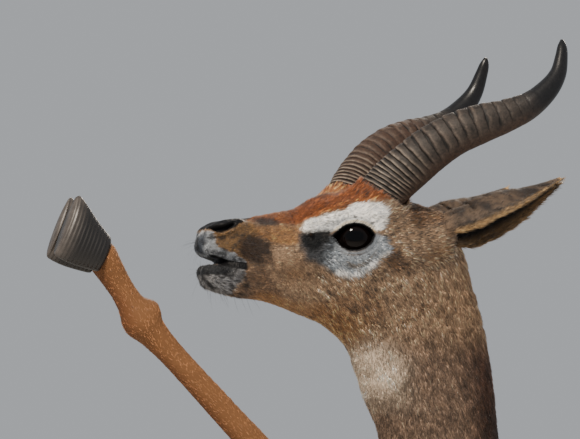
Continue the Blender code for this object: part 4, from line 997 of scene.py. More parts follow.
def makeHorn(name, side):
    s = hornSetup
    run = spline([(x, side * -y, z, width / 2, 1) for x, y, z, width in s["line"]], 0.10)
    points = [Vector(p[:3]) for p in run]
    lengths = np.concatenate([[0], np.cumsum([(b - a).length for a, b in zip(points, points[1:])])])
    faces = Vector((s["seat"][0], side * -s["seat"][1], s["seat"][2])).normalized()
    places = [(s["start"], 0.0, 0), (s["ringStart"] - 1, -0.3, 0)]
    at = s["ringStart"]
    for i in range(s["rings"]):
        pitch = ringPitch(i)
        places += [(at + t * pitch, swell, i) for t, swell in s["shape"]]
        at += pitch
    places += [(at + (lengths[-1] - at) * t, 0.0, -1) for t in np.linspace(0.03, 1, 26)]
    rings, marks = [], []
    for distance, swell, number in places:
        centre, way = alongLine(points, min(distance, lengths[-1] - 1e-6))
        back = Vector((way.x, 0, way.z)).cross(Vector((0, 1, 0)))
        across = way.cross(back).normalized()
        deep = way.cross(across)
        front = Vector((s["front"][0], s["front"][1] * side, s["front"][2]))
        front = (front - way * front.dot(way)).normalized()
        # near the root the rings lie along the skull, further up square to the horn
        level = faces.lerp(way, min(1.0, max(0.0, distance - s["ringStart"]) / s["turns"])).normalized()
        half = np.interp(distance, lengths, run[:, 3])
        high = max(number, 0) / s["rings"]
        fade = min(1.0, (s["rings"] - number) / 4) if number >= 0 else 0
        ring = []
        for k in range(s["sides"]):
            turn = 2 * math.pi * k / s["sides"]
            off = deep * math.cos(turn) + across * math.sin(turn)
            facing = off.normalized().dot(front)
            # a ring stands out in front, swells and dwindles on its way round, and fades near the tip
            share = min(1, max(0, (facing + 0.85 - 0.45 * high) / 0.75)) * fade
            share *= 1 + 0.25 * math.sin(turn * 3 + number * 2.1) + 0.2 * math.sin(turn * 8 + number * 4.7)
            size = half * (1 + (s["crest"] if swell > 0 else s["groove"]) * swell * max(0.12 * fade, share))
            off = deep * size * math.cos(turn) + across * size * s["ratio"] * math.sin(turn)
            off -= way * (off.dot(level) / way.dot(level))
            wave = 0.06 * ringPitch(max(number, 0)) if number >= 0 else 0
            off += way * wave * (math.sin(turn * 2 + number * 1.3) + 0.6 * math.sin(turn * 5 + number * 2.9)
                                 + 0.35 * math.sin(turn * 11 + number * 5.3))
            ring.append(headPoint + (centre + off) * mm)
            marks.append((swell, distance / lengths[-1], share, facing))
        rings.append(ring)
    bm = bmesh.new()
    makeTube(bm, rings)
    obj = newObject(name, bm)
    swell, far, share, facing = np.array(marks).T
    place = vertexPlaces(obj.data)
    light = np.tile(linear(s["colour"]), (len(swell), 1))
    light = mixed(light, s["brown"], ramp(cloud(place, 0.011, 20), -0.3, 0.5) * 0.7)
    redder = ramp(facing, 0.1, -0.7) * 0.5 + (0.45 if side > 0 else 0) * ramp(far, 0.62, 0.5)
    light = mixed(light, s["red"], redder)
    ringed = np.clip(share, 0, 1)
    # painted highlight along the ring crests on the lower part of the horn
    light = mixed(light, s["crestHighlight"], ramp(swell, 0.60, 1.0) * ringed * ramp(far, 0.7, 0.4) * 0.40)
    root = ramp(far, 0.30, 0.10)
    worn = 0.55 + 0.45 * ramp(cloud(place, 0.008, 25), -0.4, 0.4)
    light = mixed(light, s["worn"], root * worn * ramp(swell, 0.60, 0.95) * ringed * 0.75)
    light = mixed(light, s["speck"], ramp(cloud(place, 0.0024, 23), 0.35, 0.6) * 0.55)
    # painted shade in the grooves between the rings, and in the low parts between the crests near the root
    grooved = np.clip(1.3 * share, 0, 1)
    light = mixed(light, s["deep"], ramp(swell + 0.5 * root, -0.25, -0.85) * grooved * 0.95)
    light = mixed(light, s["rootHollowShade"], ramp(swell, 0.42, 0.20) * root * grooved * 0.85)
    tip = ramp(far, 0.63, 0.75)
    light = mixed(light, s["tip"], tip * 0.95)
    paint(obj.data, light)
    layer = obj.data.attributes.new("smooth", "FLOAT", "POINT")
    layer.data.foreach_set("value", tip.astype(np.float32))
    smoothShade(obj)
    obj.data.materials.append(bpy.data.materials["grown keratin horn"])
    return obj


def hornMaterial():
    # grown keratin: ridged and chalky low down, polished dark towards the tip
    made = blankMaterial("grown keratin horn")
    tree = made.node_tree
    marks = addNode(tree, "ShaderNodeAttribute", {"attribute_name": "marks"})
    smooth = addNode(tree, "ShaderNodeAttribute", {"attribute_name": "smooth"})
    place = addNode(tree, "ShaderNodeTexCoord")
    fibre = addNode(tree, "ShaderNodeTexNoise", Vector=place.outputs["Object"], Scale=520.0, Detail=5.0,
                    Roughness=0.7, Distortion=0.4)      # flakes and fibres about 2 mm across
    depth = addNode(tree, "ShaderNodeMapRange", Value=smooth.outputs["Fac"], To_Min=0.7, To_Max=0.12)
    bump = addNode(tree, "ShaderNodeBump", Strength=depth.outputs[0], Distance=0.0008,
                   Height=fibre.outputs[0])
    fleck = addNode(tree, "ShaderNodeMapRange", Value=fibre.outputs[0], From_Min=0.34, From_Max=0.66,
                    To_Min=0.55, To_Max=1.35)
    tone = addNode(tree, "ShaderNodeVectorMath", {"operation": "SCALE"})
    tree.links.new(marks.outputs["Color"], tone.inputs[0])
    tree.links.new(fleck.outputs[0], tone.inputs["Scale"])
    rough = addNode(tree, "ShaderNodeMapRange", Value=smooth.outputs["Fac"], To_Min=0.60, To_Max=0.32)
    shader = addNode(tree, "ShaderNodeBsdfPrincipled", Base_Color=tone.outputs[0], Roughness=rough.outputs[0],
                     IOR=1.54, Specular_IOR_Level=0.35, Normal=bump.outputs[0])
    finishMaterial(tree, shader)


# Ears: the cup's middle in mm from the head's point, its depth, half width and wrap in degrees
earSetup = {
    "line": [
        (50, -31, -2, 12.0, 12.0, 320), (56, -34.5, 0, 13.0, 13.0, 300), (66, -38, 3.5, 14.0, 13.8, 280),
        (77, -42, 6.3, 17.5, 15.0, 250), (92, -46, 6.5, 25, 18.5, 215), (112, -50, 12, 28, 20, 195),
        (125, -51, 17.5, 26, 18.5, 190), (138, -51.5, 24.5, 21.5, 16, 185), (154, -51, 36, 12.5, 10.5, 180),
        (168, -50, 46.5, 5.6, 5.5, 180), (178, -48.5, 54, 1.5, 1.5, 180)],
    "opens": (-0.10, -0.42, -0.90),
    "wall": 1.8,
    "across": 30, "along": 52,
    "outside": "#57483b", "outsideDark": "#26211f", "rim": "#c09a68", "lowRim": "#7d6243",
    "inside": "#141110", "root": "#7b624b", "insideHair": "#5f4d3b",
}


def earPlace(side, t, turnShare, inward=0.0):
    # a place on the ear's wall: t along it from 0 to 1, turnShare across it from -0.5 to 0.5
    line = [(Vector((x, side * -y, z)), deep, half, wrap) for x, y, z, deep, half, wrap in earSetup["line"]]
    run = spline([(*c, d, h) for c, d, h, _ in line], 5.0)
    count = len(line) - 1
    at = min(t * count, count - 1e-6)
    i = int(at)
    part = at - i
    a, b = run[i], run[i + 1]
    before, after = run[max(i - 1, 0)], run[min(i + 2, count)]
    row = 0.5 * (2 * a + (b - before) * part + (2 * before - 5 * a + 4 * b - after) * part ** 2
                 + (3 * a - before - 3 * b + after) * part ** 3)
    centre, deep, half = Vector(row[:3]), row[3], row[4]
    wrap = line[i][3] + part * (line[i + 1][3] - line[i][3])
    ahead = (Vector(b[:3]) - Vector(a[:3])).normalized()
    facing = Vector((earSetup["opens"][0], -side * earSetup["opens"][1], earSetup["opens"][2]))
    front = (facing - ahead * facing.dot(ahead)).normalized()
    across = ahead.cross(front) * side
    turn = math.radians(wrap) * turnShare
    behind = front * math.cos(turn) * (deep - inward)
    return centre - behind + across * math.sin(turn) * (half - inward)


def makeEar(name, side):
    s = earSetup
    bm = bmesh.new()
    grid = bmesh.ops.create_grid(bm, x_segments=s["across"], y_segments=s["along"], size=1)["verts"]
    shares = []
    for vert in grid:
        turnShare, t = vert.co.x / 2, (vert.co.y + 1) / 2
        place = earPlace(side, t, turnShare, 0.9)
        ragged = 1.2 * math.sin(t * 61 + 1.3 * side) * max(0, abs(turnShare) - 0.42) * 12
        notch = 2.6 * math.exp(-((t - 0.80) / 0.012) ** 2) * max(0, turnShare * side * -1 - 0.34) * 6
        middle = earPlace(side, t, 0.0, 0.9)
        place = place + (middle - place) * min(0.25, (max(0, ragged) + notch) * 0.03)
        vert.co = headPoint + place * mm
        shares.append((t, turnShare))
    bmesh.ops.recalc_face_normals(bm, faces=bm.faces)
    outer = earPlace(side, 0.5, 0.0) * mm + headPoint
    nearest = min(bm.faces, key=lambda f: (f.calc_center_median() - outer).length)
    inner = earPlace(side, 0.5, 0.0, 10.0) * mm + headPoint
    if (inner - outer).dot(nearest.normal) > 0:
        bmesh.ops.reverse_faces(bm, faces=bm.faces)
    obj = newObject(name, bm)
    count = len(obj.data.vertices)
    t, across = np.array(shares).T
    thick = obj.modifiers.new("thick", "SOLIDIFY")
    thick.thickness = s["wall"] * mm
    thick.offset = -1
    applied(obj)
    place = vertexPlaces(obj.data)
    normals = vertexNormals(obj.data)
    t = np.concatenate([t, t])[:len(place)]
    across = np.concatenate([across, across])[:len(place)]
    # the inner face looks towards the middle of the cup's mouth; it is painted black as shade inside the cup,
    # with two rows of hair, between a golden upper rim and a brown lower one
    steps = np.linspace(0, 1, 80)
    rims = np.array([[earPlace(side, step, share) for step in steps] for share in (-0.5, 0.5)])
    mouth = np.stack([np.interp(t, steps, rims.mean(axis=0)[:, k]) for k in range(3)], axis=1)
    inside = ((mouth - fromHead(place)) * normals).sum(axis=1) > 0
    upper = across * (1 if rims[1, 40, 2] > rims[0, 40, 2] else -1)      # 0.5 on the rim that lies higher
    colours = np.tile(linear(s["outside"]), (len(place), 1))
    mottle = cloud(place, 0.007, 21) + 0.8 * cloud(place, 0.0024, 24)
    colours = mixed(colours, s["outsideDark"], ramp(mottle, -0.6, 0.45) * ramp(t, 0.12, 0.30) * 0.92)
    colours = mixed(colours, s["root"], ramp(t, 0.30, 0.14))
    colours = mixed(colours, s["rim"], ramp(upper, 0.45, 0.485) * ramp(t, 0.2, 0.3) * 0.8)
    colours = mixed(colours, s["lowRim"], ramp(-upper, 0.36, 0.43) * ramp(t, 0.2, 0.3))
    colours = mixed(colours, s["rim"], ramp(t, 0.93, 0.98))
    # painted shade inside the cup
    colours = mixed(colours, s["inside"], inside * ramp(-upper, 0.44, 0.36) * ramp(upper, 0.49, 0.46) * 0.96)
    colours = mixed(colours, s["insideHair"], inside * ramp(np.abs(np.abs(across) - 0.20), 0.05, 0.02) * 0.35)
    paint(obj.data, colours * (1 + 0.12 * cloud(place, 0.003, 22))[:, None])
    smoothShade(obj)
    obj.data.materials.append(bpy.data.materials["ear hide"])
    return obj, t[:count], across[:count]


def earMaterial():
    # thin hide over gristle with very short hair
    made = blankMaterial("ear hide")
    tree = made.node_tree
    marks = addNode(tree, "ShaderNodeAttribute", {"attribute_name": "marks"})
    place = addNode(tree, "ShaderNodeTexCoord")
    grain = addNode(tree, "ShaderNodeTexNoise", Vector=place.outputs["Object"], Scale=800.0, Detail=3.0)
    bump = addNode(tree, "ShaderNodeBump", Strength=0.5, Distance=0.0005, Height=grain.outputs[0])
    shader = addNode(tree, "ShaderNodeBsdfPrincipled", Base_Color=marks.outputs["Color"], Roughness=0.7,
                     IOR=1.45, Specular_IOR_Level=0.35, Normal=bump.outputs[0])
    finishMaterial(tree, shader)


# Coat. Each tuft is a thin three-sided blade with its root sunk in the skin, laid along the lie
coatSetup = {
    # number of tufts, length and width in mm, how many degrees the tips stand off the skin, and how
    # much the brightness differs from tuft to tuft
    "muzzle": (46000, 3.6, 0.74, 10, 0.32), "head": (48000, 5.2, 0.95, 10, 0.56),
    "neckUpper": (49000, 7.0, 1.10, 9, 0.34), "neckLower": (44000, 9.5, 1.5, 9, 0.22),
    "trunk": (48000, 14, 2.3, 9, 0.20), "foreLeft": (26000, 6.5, 1.0, 7, 0.08),
    "foreRight": (18000, 8, 1.2, 8, 0.10), "hindLeft": (24000, 12, 1.8, 9, 0.20),
    "hindRight": (24000, 12, 1.8, 9, 0.20), "tail": (2600, 14, 1.6, 12, 0.20),
    "ear": (9000, 4.2, 0.6, 10, 0.32),
}
coatLook = {
    "jitter": 9,              # degrees either way
    "sway": 9,                # degrees that larger patches turn together
    "clump": 0.24,            # how far neighbouring tips lean together, in radians
    "root": 0.50, "tip": 1.42,    # brightness at the root and the tip: painted shade down among the hair, painted light on the tips
    "patches": 2.6,           # how far small streaks of hair differ in brightness
    "streakWidth": 0.0021,    # metres
    "streakLength": 2.6,      # times the width, along the lie
    "whiteRoot": 1.0, "whiteTip": 1.25,    # the same painted shade and light as root and tip, for white hair
    "sunk": 0.5,              # mm that the roots sit inside the skin
    "thick": 0.30,            # thickness as a share of the width
    "under": 0.55,            # brightness of the skin between the tufts, painted shade down among the hair
}
# each region is unrolled round its own line, and gets its own strip of the OFBake map
unwrapLines = {
    "muzzle": [(-0.325, 0, 1.838), (-0.215, 0, 1.835)], "head": [(-0.225, 0, 1.838), (-0.085, 0, 1.838)],
    "neckUpper": [(-0.104, 0, 1.83), (-0.078, 0, 1.62)],
    "neckLower": [(-0.078, 0, 1.66), (-0.044, 0, 1.38)],
    "trunk": [(-0.040, 0, 1.45), (-0.014, 0, 1.23), (0.048, 0, 0.96), (0.10, 0, 0.80)],
    "foreLeft": [leftFore[n] for n in ("shoulder", "elbow", "knee", "fetlock", "coronet")],
    "foreRight": [rightFore[n] for n in ("shoulder", "elbow", "knee", "fetlock", "coronet")],
    "hindLeft": [tuple(hindPoint(n, -1)) for n in ("hip", "stifle", "hock", "fetlock", "coronet")],
    "hindRight": [tuple(hindPoint(n, 1)) for n in ("hip", "stifle", "hock", "fetlock", "coronet")],
    "tail": [place[:3] for place in tailLine],
}


def unrolled(points, line):
    # how far along the line and how far round it each point lies, both from 0 to 1
    line = np.array(line, float)
    _, share = segmentDistance(points, line)
    lengths = np.concatenate([[0], np.cumsum(np.linalg.norm(np.diff(line, axis=0), axis=1))])
    centre = np.stack([np.interp(share * lengths[-1], lengths, line[:, k]) for k in range(3)], axis=1)
    piece = np.clip(np.searchsorted(lengths, share * lengths[-1]) - 1, 0, len(line) - 2)
    way = (line[1:] - line[:-1])[piece]
    way /= np.linalg.norm(way, axis=1)[:, None]
    off = points - centre
    over = np.cross(way, (0, 1, 0))
    turned = np.arctan2(off[:, 1], (off * over).sum(1)) / (2 * math.pi) + 0.5
    first, last = line[1] - line[0], line[-1] - line[-2]
    before = np.clip((points - line[0]) @ first / (first @ first), -0.4, 0)
    after = np.clip((points - line[-1]) @ last / (last @ last), 0, 0.4)
    return np.stack([0.01 + 0.98 * turned, 0.15 + 0.7 * share + 0.3 * before + 0.3 * after], axis=1)


def scatter(mesh, count, density, seed):
    # random places on a mesh: the corners of each one's triangle, and their shares
    mesh.calc_loop_triangles()
    corners = np.empty(len(mesh.loop_triangles) * 3, np.int32)
    mesh.loop_triangles.foreach_get("vertices", corners)
    corners = corners.reshape(-1, 3)
    a, b, c = vertexPlaces(mesh)[corners].transpose(1, 0, 2)
    weight = np.linalg.norm(np.cross(b - a, c - a), axis=1) * density[corners].mean(axis=1)
    random = np.random.default_rng(seed)
    chosen = random.choice(len(corners), count, p=weight / weight.sum())
    u, v = random.random((2, count))
    over = u + v > 1
    u[over], v[over] = 1 - u[over], 1 - v[over]
    return corners[chosen], np.stack([1 - u - v, u, v], axis=1)


def blended(values, corners, shares):
    return (values[corners] * shares[:, :, None]).sum(axis=1)


def unit(vectors):
    return vectors / np.maximum(np.linalg.norm(vectors, axis=1), 1e-9)[:, None]


def hairMesh(name, paths, across, up, width, colours, atlas):
    # one closed mesh of tapered hairs: paths is hairs x places x 3, with colours for each place
    count, places = paths.shape[:2]
    steps = places - 1
    share = 1 - 0.75 * np.arange(steps) / steps
    half = (width[:, None] * share)[:, :, None]
    inner, wide = paths[:, :-1], across[:, None] * half / 2
    rings = np.stack([inner + wide, inner - wide, inner + up[:, None] * half * coatLook["thick"]], axis=2)
    each = 3 * steps + 1
    points = np.concatenate([rings.reshape(count, 3 * steps, 3), paths[:, -1:]], axis=1)
    faces = [(0, 2, 1)]
    for k in range(0, 3 * (steps - 1), 3):
        for j in range(3):
            a, b = k + j, k + (j + 1) % 3
            faces += [(a, b, a + 3), (b, b + 3, a + 3)]
    last = 3 * (steps - 1)
    faces += [(last, last + 1, each - 1), (last + 1, last + 2, each - 1), (last + 2, last, each - 1)]
    faces = np.array(faces)
    corners = (np.arange(count)[:, None, None] * each + faces[None]).ravel().astype(np.int32)
    mesh = bpy.data.meshes.new(name)
    mesh.vertices.add(count * each)
    mesh.vertices.foreach_set("co", points.astype(np.float32).ravel())
    mesh.loops.add(len(corners))
    mesh.loops.foreach_set("vertex_index", corners)
    mesh.polygons.add(len(corners) // 3)
    mesh.polygons.foreach_set("loop_start", np.arange(0, len(corners), 3, dtype=np.int32))
    mesh.update(calc_edges=True)
    tints = np.concatenate([np.repeat(colours[:, :-1], 3, axis=1), colours[:, -1:]], axis=1)
    paint(mesh, tints.reshape(-1, 3))
    spot = np.zeros((each, 2))
    spot[:-1, 0] = np.tile([-1.0, 1.0, 0.2], steps)
    spot[:-1, 1] = np.repeat(-1 + 1.8 * np.arange(steps) / steps, 3)
    spot[-1] = (0, 1)
    flat = np.clip(atlas, 0.002, 0.998)[:, None] + spot[None] * 0.0015
    layer = mesh.uv_layers.new(name="OFBake")
    layer.data.foreach_set("uv", flat.reshape(-1, 2)[corners].astype(np.float32).ravel())
    obj = bpy.data.objects.new(name, mesh)
    bpy.context.scene.collection.objects.link(obj)
    smoothShade(obj)
    return obj


def makeTufts(name, places, normals, lie, colours, atlas, length, width, lift, spread, seed):
    # short blades laid along the lie, with a little disorder
    look = coatLook
    count = len(places)
    random = np.random.default_rng(seed)
    lie = unit(lie - normals * (lie * normals).sum(axis=1)[:, None])
    across = np.cross(lie, normals)
    # on the head and the upper neck the streaks follow the lie of the hair
    streaks = places
    if name in ("coat_muzzle", "coat_head", "coat_neckUpper"):
        off = places - np.array(headPoint)
        streaks = np.stack([(off * v).sum(axis=1) for v in (across, normals, lie / look["streakLength"])],
                           axis=1)
    turn = np.radians(look["jitter"] * random.uniform(-1, 1, count) + look["sway"] * cloud(places, 0.022, 30))
    turn += look["clump"] * cloud(places, 0.0045, 31)
    ahead = lie * np.cos(turn)[:, None] + across * np.sin(turn)[:, None]
    across = np.cross(ahead, normals)
    rise = np.radians(lift * random.uniform(0.45, 1.5, count))[:, None]
    size = (length * random.uniform(0.7, 1.25, count))[:, None]
    start = places - normals * look["sunk"] * mm
    tip = places + (ahead * np.cos(rise) + normals * np.sin(rise)) * size * mm
    white = ramp(colours.mean(axis=1), 0.25, 0.60)
    tone = np.clip(np.exp(spread * random.normal(0, 1, count)), 0.42, 2.1)
    tone *= np.exp(look["patches"] * spread * cloud(streaks, look["streakWidth"], 32))
    tone = 1 + (tone - 1) * (1 - 0.6 * white)
    # painted shade at the roots and painted light at the tips
    root = (look["root"] + (look["whiteRoot"] - look["root"]) * white) * tone
    end = (look["tip"] + (look["whiteTip"] - look["tip"]) * white) * tone
    tints = np.clip(np.stack([colours * root[:, None], colours * end[:, None]], axis=1), 0, 1)
    wide = np.broadcast_to(width, count) * random.uniform(0.75, 1.25, count) * mm
    return hairMesh(name, np.stack([start, tip], axis=1), across, normals, wide, tints, atlas)


def coveredPlaces(points):
    # places under the horns, ears and hooves, where no hair grows
    p = fromHead(points)
    found = np.zeros(len(points), bool)
    for side in (-1, 1):
        horn = np.array([(x, side * -y, z) for x, y, z, _ in hornSetup["line"][:5]])
        found |= segmentDistance(p, horn)[0] < 18.5
        ear = np.array([(x, side * -y, z) for x, y, z, *_ in earSetup["line"][:4]])
        found |= segmentDistance(p, ear)[0] < 9.0
    feet = [(leg["coronet"], leg["fetlock"]) for leg in (leftFore, rightFore)]
    feet += [(hindPoint("coronet", side), hindPoint("fetlock", side)) for side in (-1, 1)]
    for foot, fetlock in feet:
        way = np.array((Vector(foot) - Vector(fetlock)).normalized())
        off = points - np.array(foot)
        found |= (off @ way > 0.003) & (np.linalg.norm(off, axis=1) < 0.05)
    return found


def makeCoat(skin):
    places, normals = vertexPlaces(skin.data), vertexNormals(skin.data)
    group, lie = hairLie(places)
    group = group.astype("<U9")
    group[(group == "head") & (places[:, 0] < -0.222)] = "muzzle"
    group[group == "neck"] = np.where(places[group == "neck", 2] > 1.64, "neckUpper", "neckLower")
    covered = coveredPlaces(places)
    made = []
    for seed, name in enumerate(n for n in coatSetup if n != "ear"):
        count, length, width, lift, spread = coatSetup[name]
        density = ((group == name) & ~covered & (skinBare < 0.5)).astype(float)
        corners, shares = scatter(skin.data, count, density, 100 + seed)
        at = blended(places, corners, shares)
        up = unit(blended(normals, corners, shares))
        colours, bare = coatColour(at, up)
        keep = (bare < 0.35) & ~coveredPlaces(at)
        at, up, colours = at[keep], up[keep], colours[keep]
        way = blended(lie, corners, shares)[keep]
        long = np.full(len(at), float(length))
        p = fromHead(at)
        if name in ("muzzle", "head", "neckUpper"):
            # on the cheeks and the throat the hair slants down and back
            slant = ramp(p[:, 2], -12, -42) * ramp(p[:, 0], -95, -60) * ramp(p[:, 2], -150, -90)
            way = unit(way) + np.array((0.15, 0, -1.25)) * slant[:, None]
        if name in ("muzzle", "head"):
            for side in (-1, 1):
                centre, looks, _ = eyeAxes(side)
                near = np.linalg.norm(p - centre - looks * 18, axis=1)
                long *= 1 - 0.55 * ramp(near, 26, 14)
            long *= 1 - 0.30 * ramp(p[:, 0], -96, -128)
            # the tuft between the horns, and the bristly chin
            crest = ramp(np.hypot((p[:, 0] + 6) / 24, p[:, 1] / 11), 1.2, 0.5) * ramp(p[:, 2], 22, 34)
            long *= 1 + 0.9 * crest
            chin = ramp(p[:, 0], -100, -118) * ramp(p[:, 2], -38, -46)
            long *= 1 + 0.9 * chin
            lift = lift * (1 + 0.8 * crest + 0.9 * chin)
        elif name.startswith(("fore", "hind")):
            # shorter towards the foot
            low = ramp(at[:, 2], 0.60, 0.34) if name.startswith("hind") else ramp(at[:, 0], -0.22, -0.30)
            long *= 1 - 0.38 * low
        obj = makeTufts("coat_" + name, at, up, way, colours, unrolled(at, unwrapLines[name]), long,
                        width * (long / length) ** 0.5, lift, spread, 200 + seed)
        obj.data.materials.append(bpy.data.materials["short antelope hair"])
        made.append((obj, "chestnut_coat" if name in ("muzzle", "head") else "tan_coat"))
    return made


# Longer hairs: length and width in mm, colour
longHair = {
    "lash": (8.5, 0.34, "#0c0b0b"),
    "whisker": (17, 0.24, "#17161a"),
    "kneeTuft": (30, 1.0, "#171312"),
    "tailTuft": (92, 1.5, "#131010"),
    "lashRow": (-13, 14, 44),       # from, to and number along the upper lid
    "upperLid": ([-13, -7, 0, 7, 12.5, 16.6], [6.2, 10.0, 11.6, 10.6, 7.6, 2.6]),
    "counts": {"whisker": 120, "kneeTuft": 420, "tailTuft": 900},
}


def makeStrands(name, roots, ways, bends, kind, seed, steps=4):
    # longer curved hairs from given roots
    length, width, colour = longHair[kind]
    random = np.random.default_rng(seed)
    count = len(roots)
    size = (length * random.uniform(0.75, 1.2, count) * mm)[:, None]
    ways = unit(ways + random.normal(0, 0.09, (count, 3)))
    t = (np.arange(steps + 1) / steps)[None, :, None]
    paths = roots[:, None] + ways[:, None] * size[:, None] * t + bends[:, None] * size[:, None] * t ** 2
    across = unit(np.cross(ways, bends + random.normal(0, 0.05, (count, 3))))
    up = np.cross(across, ways)
    tone = 1 + 0.25 * random.uniform(-1, 1, count)
    tints = np.clip(linear(colour) * tone[:, None, None] * (1 + 0 * t), 0, 1)
    wide = width * random.uniform(0.7, 1.3, count) * mm
    shape = np.stack([random.random(count), random.random(count)], axis=1) * 0.9 + 0.05
    obj = hairMesh(name, paths, across, up, wide, tints, shape)
    obj.data.materials.append(bpy.data.materials["short antelope hair"])
    return obj


def makeLongHair(skin):
    # lashes, whiskers, and the black tufts of the knees and the tail
    s = longHair
    places, normals = vertexPlaces(skin.data), vertexNormals(skin.data)

    def rootsIn(share, kind, seed):
        corners, shares = scatter(skin.data, s["counts"][kind], share, seed)
        return blended(places, corners, shares), unit(blended(normals, corners, shares))

    roots, ways, bends = [], [], []
    row = np.linspace(*s["lashRow"])
    for side in (-1, 1):
        centre, looks, backward = eyeAxes(side)
        for b, u in zip(row, np.interp(row, *s["upperLid"])):
            roots.append(centre + looks * 17.0 + backward * b + np.array((0, 0, u)))
            ways.append(looks * 0.9 + backward * (0.25 + 0.02 * b) + np.array((0, 0, 0.05)))
            bends.append(np.array((0, 0, 0.25)) + backward * 0.1)
    roots = np.array(roots) * mm + np.array(headPoint)
    hairs = makeStrands("lashes", roots, np.array(ways), np.array(bends), "lash", 6, 3)
    made = [(hairs, "eye")]

    p = fromHead(places)
    lips = (p[:, 0] < -108) & (p[:, 2] < -6) & (p[:, 2] > -62) & (np.abs(np.abs(p[:, 1]) - 17) < 13)
    at, up = rootsIn(lips * (1 - skinBare), "whisker", 7)
    bends = np.tile((0.25, 0, -0.2), (len(at), 1))
    hairs = makeStrands("whiskers", at, up + np.array((0.25, 0, -0.35)), bends, "whisker", 8)
    made.append((hairs, "chestnut_coat"))

    for label, leg in (("left", leftFore), ("right", rightFore)):
        knee, fetlock, elbow = (np.array(leg[n]) for n in ("knee", "fetlock", "elbow"))
        down = (fetlock - knee) / np.linalg.norm(fetlock - knee)
        front = (knee - elbow) / np.linalg.norm(knee - elbow) - down
        front -= down * (front @ down)
        front /= np.linalg.norm(front)
        off = places - knee
        spot = ((normals @ front > 0.25) & (np.abs(off @ down - 0.004) < 0.020)
                & (np.linalg.norm(off, axis=1) < 0.045)).astype(float)
        at, up = rootsIn(spot, "kneeTuft", 9)
        ways = np.tile(down, (len(at), 1)) + up * 0.30
        hairs = makeStrands("knee_tuft_" + label, at - up * 0.0006, ways, -up * 0.14, "kneeTuft", 10)
        made.append((hairs, "tan_coat"))

    spot = ((places[:, 0] > 0.15) & (places[:, 2] < 0.70)).astype(float)
    at, up = rootsIn(spot, "tailTuft", 11)
    ways = np.tile((0, 0, -1.0), (len(at), 1)) + up * 0.16
    hairs = makeStrands("tail_tuft", at - up * 0.0006, ways, -up * 0.10, "tailTuft", 12, 5)
    made.append((hairs, "tan_coat"))
    return made


def makeEarHair(ear, side, t, across):
    # short hair on the ear, with a paler fringe along its rims
    count, length, width, lift, spread = coatSetup["ear"]
    places, normals = vertexPlaces(ear.data), vertexNormals(ear.data)
    t, across = np.concatenate([t, t])[:len(places)], np.concatenate([across, across])[:len(places)]
    tints = np.empty(len(places) * 4, np.float32)
    ear.data.color_attributes["marks"].data.foreach_get("color", tints)
    tints = tints.reshape(-1, 4)[:, :3].astype(float)
    rim = ramp(np.abs(across), 0.40, 0.47)
    density = (0.35 + 1.6 * rim + ramp(t, 0.5, 0.2)) * (t > 0.04)
    corners, shares = scatter(ear.data, count, density, 40 + side)
    at, up = blended(places, corners, shares), unit(blended(normals, corners, shares))
    low, tip = (headPoint + Vector((x, side * -y, z)) * mm
                for x, y, z, *_ in (earSetup["line"][2], earSetup["line"][-1]))
    way = np.tile(np.array((tip - low).normalized()), (len(at), 1))
    edge = blended(rim[:, None], corners, shares)[:, 0]
    length = length * (1 + 0.7 * edge)
    atlas = np.stack([blended(across[:, None], corners, shares)[:, 0] * 0.9 + 0.5,
                      blended(t[:, None], corners, shares)[:, 0] * 0.96 + 0.02], axis=1)
    tints = blended(tints, corners, shares)
    obj = makeTufts(ear.name + "_hair", at, up, way, tints, atlas, length, width, lift, spread, 60 + side)
    obj.data.materials.append(bpy.data.materials["short antelope hair"])
    return obj


# Hooves: height above the sole, reach back and forward of the coronet's middle, half width, in mm
hoofSetup = {
    "height": 41.0,
    "claw": [(0.0, -17.0, 33.4, 6.9), (1.0, -18.2, 35.0, 7.8), (2.5, -19, 35.9, 8.2), (6.5, -19.4, 34.2, 8.5),
             (13.0, -19.5, 30.4, 8.6), (20.0, -19, 26, 8.6), (27.0, -18, 22, 8.4), (34.0, -16.8, 18.4, 8.3),
             (39.0, -15.8, 16.2, 8.2), (41.0, -15.0, 15, 7.6)],
    "gap": 1.2,
    "sides": 32,
    "colour": "#1b1817", "scuffed": "#6b625b",
}


def footTurn(coronet, fetlock):
    way = Vector(coronet) - Vector(fetlock)
    stand = hindPoint("coronet", 1) - hindPoint("fetlock", 1)
    angle = math.atan2(way.z, way.x) - math.atan2(stand.z, stand.x)
    return Matrix.Rotation(-angle, 4, "Y")


def makeClaw(name, coronet, turn, side):
    s = hoofSetup
    place = Matrix.Translation(coronet) @ turn
    rings, growth = [], []
    for height, back, front, half in s["claw"]:
        ring = []
        for k in range(s["sides"]):
            angle = 2 * math.pi * k / s["sides"]
            reach, width = math.cos(angle), math.sin(angle)
            width *= 1 - 0.5 * max(0, reach) ** 3
            lean = half * width if width * side > 0 else 0.82 * half * width
            x = -(front + back) / 2 - (front - back) / 2 * reach
            y = side * (half + s["gap"] / 2) + lean
            ring.append(place @ (Vector((x, y, height - s["height"] - 0.3)) * mm))
            growth.append(height)
        rings.append(ring)
    bm = bmesh.new()
    makeTube(bm, rings)
    obj = newObject(name, bm)
    layer = obj.data.attributes.new("growth", "FLOAT", "POINT")
    layer.data.foreach_set("value", np.array(growth, np.float32))
    smoothShade(obj)
    obj.data.materials.append(bpy.data.materials["hoof keratin"])
    return obj


